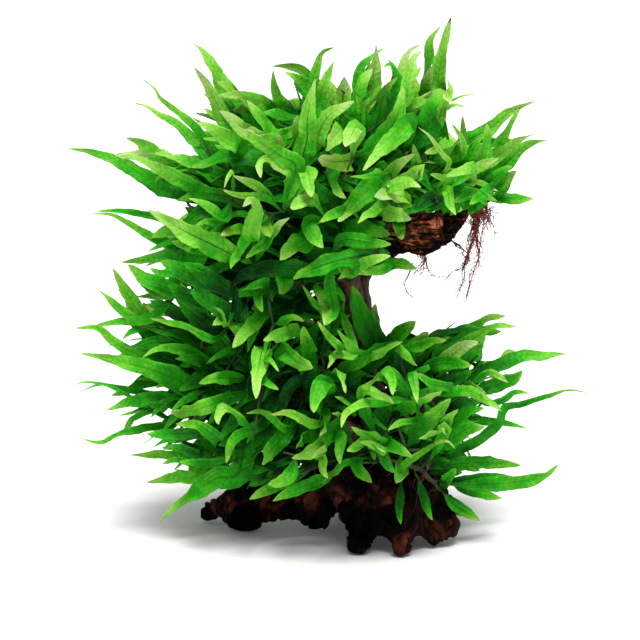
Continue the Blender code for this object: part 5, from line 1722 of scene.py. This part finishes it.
# the creeping stem that the solid holds, rounded
def makeStem(name):
    rounded = remeshed(newMesh(name, stems[name]), 0.0010, 6)
    strands = [(path, growth["branchRadius"] / (1 - strandTaper / 2), 0.5) for path in branches[name]]
    side = growStrands(name + "_branches", strands, 6, stemPaint)
    joined = bmesh.new()
    joined.from_mesh(rounded)
    joined.from_mesh(side.data)
    joined.to_mesh(rounded)
    joined.free()
    bpy.data.objects.remove(side)
    rounded.materials.clear()
    rounded.materials.append(stemPaint)
    rounded.polygons.foreach_set("use_smooth", [True] * len(rounded.polygons))
    return linkObject("stem_" + name, rounded)


# Roots

roots = {
    "bundles": {  # photograph pixels and depths in mm along each strand, its radius, and how many follow it
        "roots_arm_tip": [
            (((488, 213), (483, 226), (478, 244), (471, 266), (469, 282), (463, 299)),
             (-8, -11, -12, -13, -12, -12), 0.75, 13),
            (((484, 222), (483, 238), (485, 258), (477, 280), (471, 302)), (-10, -6, -3, -1, 0), 0.6, 8),
            (((487, 215), (494, 217), (499, 226), (504, 236)), (-9, -8, -10, -11), 0.55, 5),
            (((475, 254), (469, 268), (459, 272), (450, 282)), (-12, -15, -16, -17), 0.55, 4),
            (((486, 208), (480, 222), (474, 240), (476, 262)), (-6, -9, -12, -14), 0.5, 7),
            (((492, 207), (492, 222), (487, 240), (483, 262)), (-6, -8, -8, -7), 0.45, 6),
            (((482, 208), (474, 216), (470, 228)), (-8, -12, -14), 0.4, 3),
            (((492, 210), (500, 208), (503, 214)), (-6, -5, -5), 0.4, 3),
            (((478, 201), (483, 208), (490, 213), (496, 208), (493, 202)), (-8, -12, -14, -11, -8), 0.5, 9),
            (((474, 206), (480, 214), (488, 216), (494, 211), (499, 216)), (-10, -13, -12, -10, -8), 0.45, 8),
            (((486, 204), (482, 214), (478, 222), (482, 232)), (-5, -8, -11, -12), 0.5, 8),
        ],
        "roots_under_arm": [
            (((424, 254), (423, 263), (423, 270), (420, 276)), (-8, -9, -10, -11), 0.5, 4),
            (((424, 258), (428, 270), (438, 277), (450, 274)), (-8, -10, -12, -14), 0.4, 2),
            (((422, 260), (414, 272), (410, 288)), (-9, -7, -6), 0.35, 2),
            (((412, 262), (405, 285), (416, 302)), (-6, -5, -5), 0.3, 1),
        ],
    },
    "millimetre": 0.001,
    "underWood": 262,  # pixel height down to which a strand starts under the wood
    "spread": (0.0052, 0.0026, 0.0018),  # how far following strands stand off: top, waist and end
    "waist": 0.35,
    "frizz": 0.0016,
    "fineRadius": (0.00026, 0.00046),
    "twigs": 2,  # side twigs on each strand
    "twigLengths": (0.004, 0.014),
    "gripping": 26,  # rootlets along each stem
    "gripLengths": (0.012, 0.034),
    "gripRadius": (0.00022, 0.00042),
    "gripStep": 0.0026,
    "gripHeight": 0.0003,
}


# a strand's points, pushed about by small bends, and least at its start
def frizzed(points, amount, rng):
    waves = [(anyDirection(rng), rng.uniform(0.6, 3.2), rng.uniform(0, 6.3), rng.uniform(0.4, 1.0))
             for _ in range(4)]
    made = []
    for i, point in enumerate(points):
        s = i / (len(points) - 1)
        push = Vector()
        for way, beats, start, size in waves:
            push += way * (size * math.sin(2 * math.pi * beats * s + start))
        made.append(point + push * amount * min(1.0, 4 * s + 0.15))
    return made


# each strand of a bundle, moved as one so that the bundle lies in the middle of its solid's box
def bundlePaths(name, rows):
    low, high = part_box(name)
    paths = [[seenPoint(pixel, depth * roots["millimetre"] + studio["aim"].y)
              for pixel, depth in zip(pixels, depths)] for pixels, depths, radius, followers in rows]
    ends = [point for path in paths[:3] for point in path]
    middles = [(min(p[i] for p in ends) + max(p[i] for p in ends)) / 2 for i in range(3)]
    shift = Vector([(low[i] + high[i]) / 2 - middles[i] for i in range(3)])
    return [[point + shift for point in path] for path in paths]


# a strand that keeps beside another, from near its start to some way along it
def followingStrand(points, rng):
    offTop, offWaist, offEnd = (anyDirection(rng) * rng.uniform(0.3, 1) * size for size in roots["spread"])
    first = rng.choice((0, 0, 0, rng.randrange(len(points) // 2)))
    last = min(len(points), max(first + 6, round(len(points) * rng.uniform(0.45, 1.04))))
    waist = roots["waist"]
    part = []
    for i in range(first, last):
        s = i / (len(points) - 1)
        off = offTop.lerp(offWaist, s / waist)
        if s >= waist:
            off = offWaist.lerp(offEnd, (s - waist) / (1 - waist))
        part.append(points[i] + off * min(1.0, 0.2 + 4 * s))
    part = frizzed(part, roots["frizz"], rng)
    return part, rng.uniform(*roots["fineRadius"]), rng.uniform(0, 1)


def sideTwig(points, rng):
    start = points[rng.randrange(len(points) // 4, len(points))]
    aim = (anyDirection(rng) + Vector((0, 0, -0.7))).normalized()
    length = rng.uniform(*roots["twigLengths"])
    bend = anyDirection(rng) * length * 0.25
    shares = (0, 0.17, 0.34, 0.5, 0.67, 0.84, 1)
    twig = [start + aim * length * s + bend * math.sin(3.1 * s) for s in shares]
    return twig, roots["fineRadius"][0], rng.uniform(0, 1)


def bundleStrands(name, rng):
    strands = []
    rows = roots["bundles"][name]
    for path, (pixels, depths, radius, followers) in zip(bundlePaths(name, rows), rows):
        if pixels[0][1] < roots["underWood"]:  # it starts at the wood's skin
            path.insert(0, woodSkin.find_nearest(path[0] + Vector((-0.004, 0, 0.006)))[0])
        points = evenPoints(path, 0.0022, 8, 60)[0]
        strands.append((frizzed(points, roots["frizz"] * 0.5, rng), radius * roots["millimetre"],
                        rng.uniform(0.3, 0.7)))
        strands += [followingStrand(points, rng) for _ in range(followers)]
    strands += [sideTwig(points, rng) for points, radius, tone in strands for _ in range(roots["twigs"])]
    return strands


# a fine root that creeps over the wood from a place on a stem
def grippingRoot(own, rng):
    place = rng.choice(own)
    points = [place["start"].lerp(place["end"], rng.random())]
    length = rng.uniform(*roots["gripLengths"])
    heading = (anyDirection(rng) + Vector((0, 0, -0.5))).normalized()
    while len(points) < 3 or length > 0:
        near, normal, index, away = woodSkin.find_nearest(points[-1] + heading * roots["gripStep"])
        heading = (heading + anyDirection(rng) * 0.35).normalized()
        heading = (heading - normal * heading.dot(normal)).normalized()
        points.append(near + normal * roots["gripHeight"])
        length -= roots["gripStep"]
    return points, rng.uniform(*roots["gripRadius"]), rng.uniform(0, 0.6)


def grippingRoots(rng):
    strands = []
    for name in stems:
        own = [place for place in mainPlaces if place["stem"] == name]
        strands += [grippingRoot(own, rng) for _ in range(roots["gripping"])]
    return strands


def makeRoots(name, strands, sides):
    piece = growStrands(name, strands, sides, rootPaint)
    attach(piece, "root")
    return piece


rootDice = random.Random(5)
for nodeName in roots["bundles"]:
    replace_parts(makeRoots("strands_" + nodeName, bundleStrands(nodeName, rootDice), 5), nodeName)
makeRoots("gripping_roots", grippingRoots(rootDice), 4)
print("roots made")

faces = 0
for number, (nodeName, leaves) in enumerate(hostLeaves.items()):
    piece = growLeaves("blades_" + nodeName, leaves + grownLeaves.get(nodeName, []), number)
    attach(piece, "root")
    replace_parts(piece, nodeName)
    faces += len(piece.data.polygons)
    if nodeName in stems:
        stem = makeStem(nodeName)
        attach(stem, "root")
        faces += len(stem.data.polygons)
        count = len(leaves) + len(grownLeaves[nodeName])
        print(nodeName, count, "leaves,", len(piece.data.polygons), "faces")
print("leaves and stems made:", faces, "faces")

bpy.data.objects.remove(bladeSection)
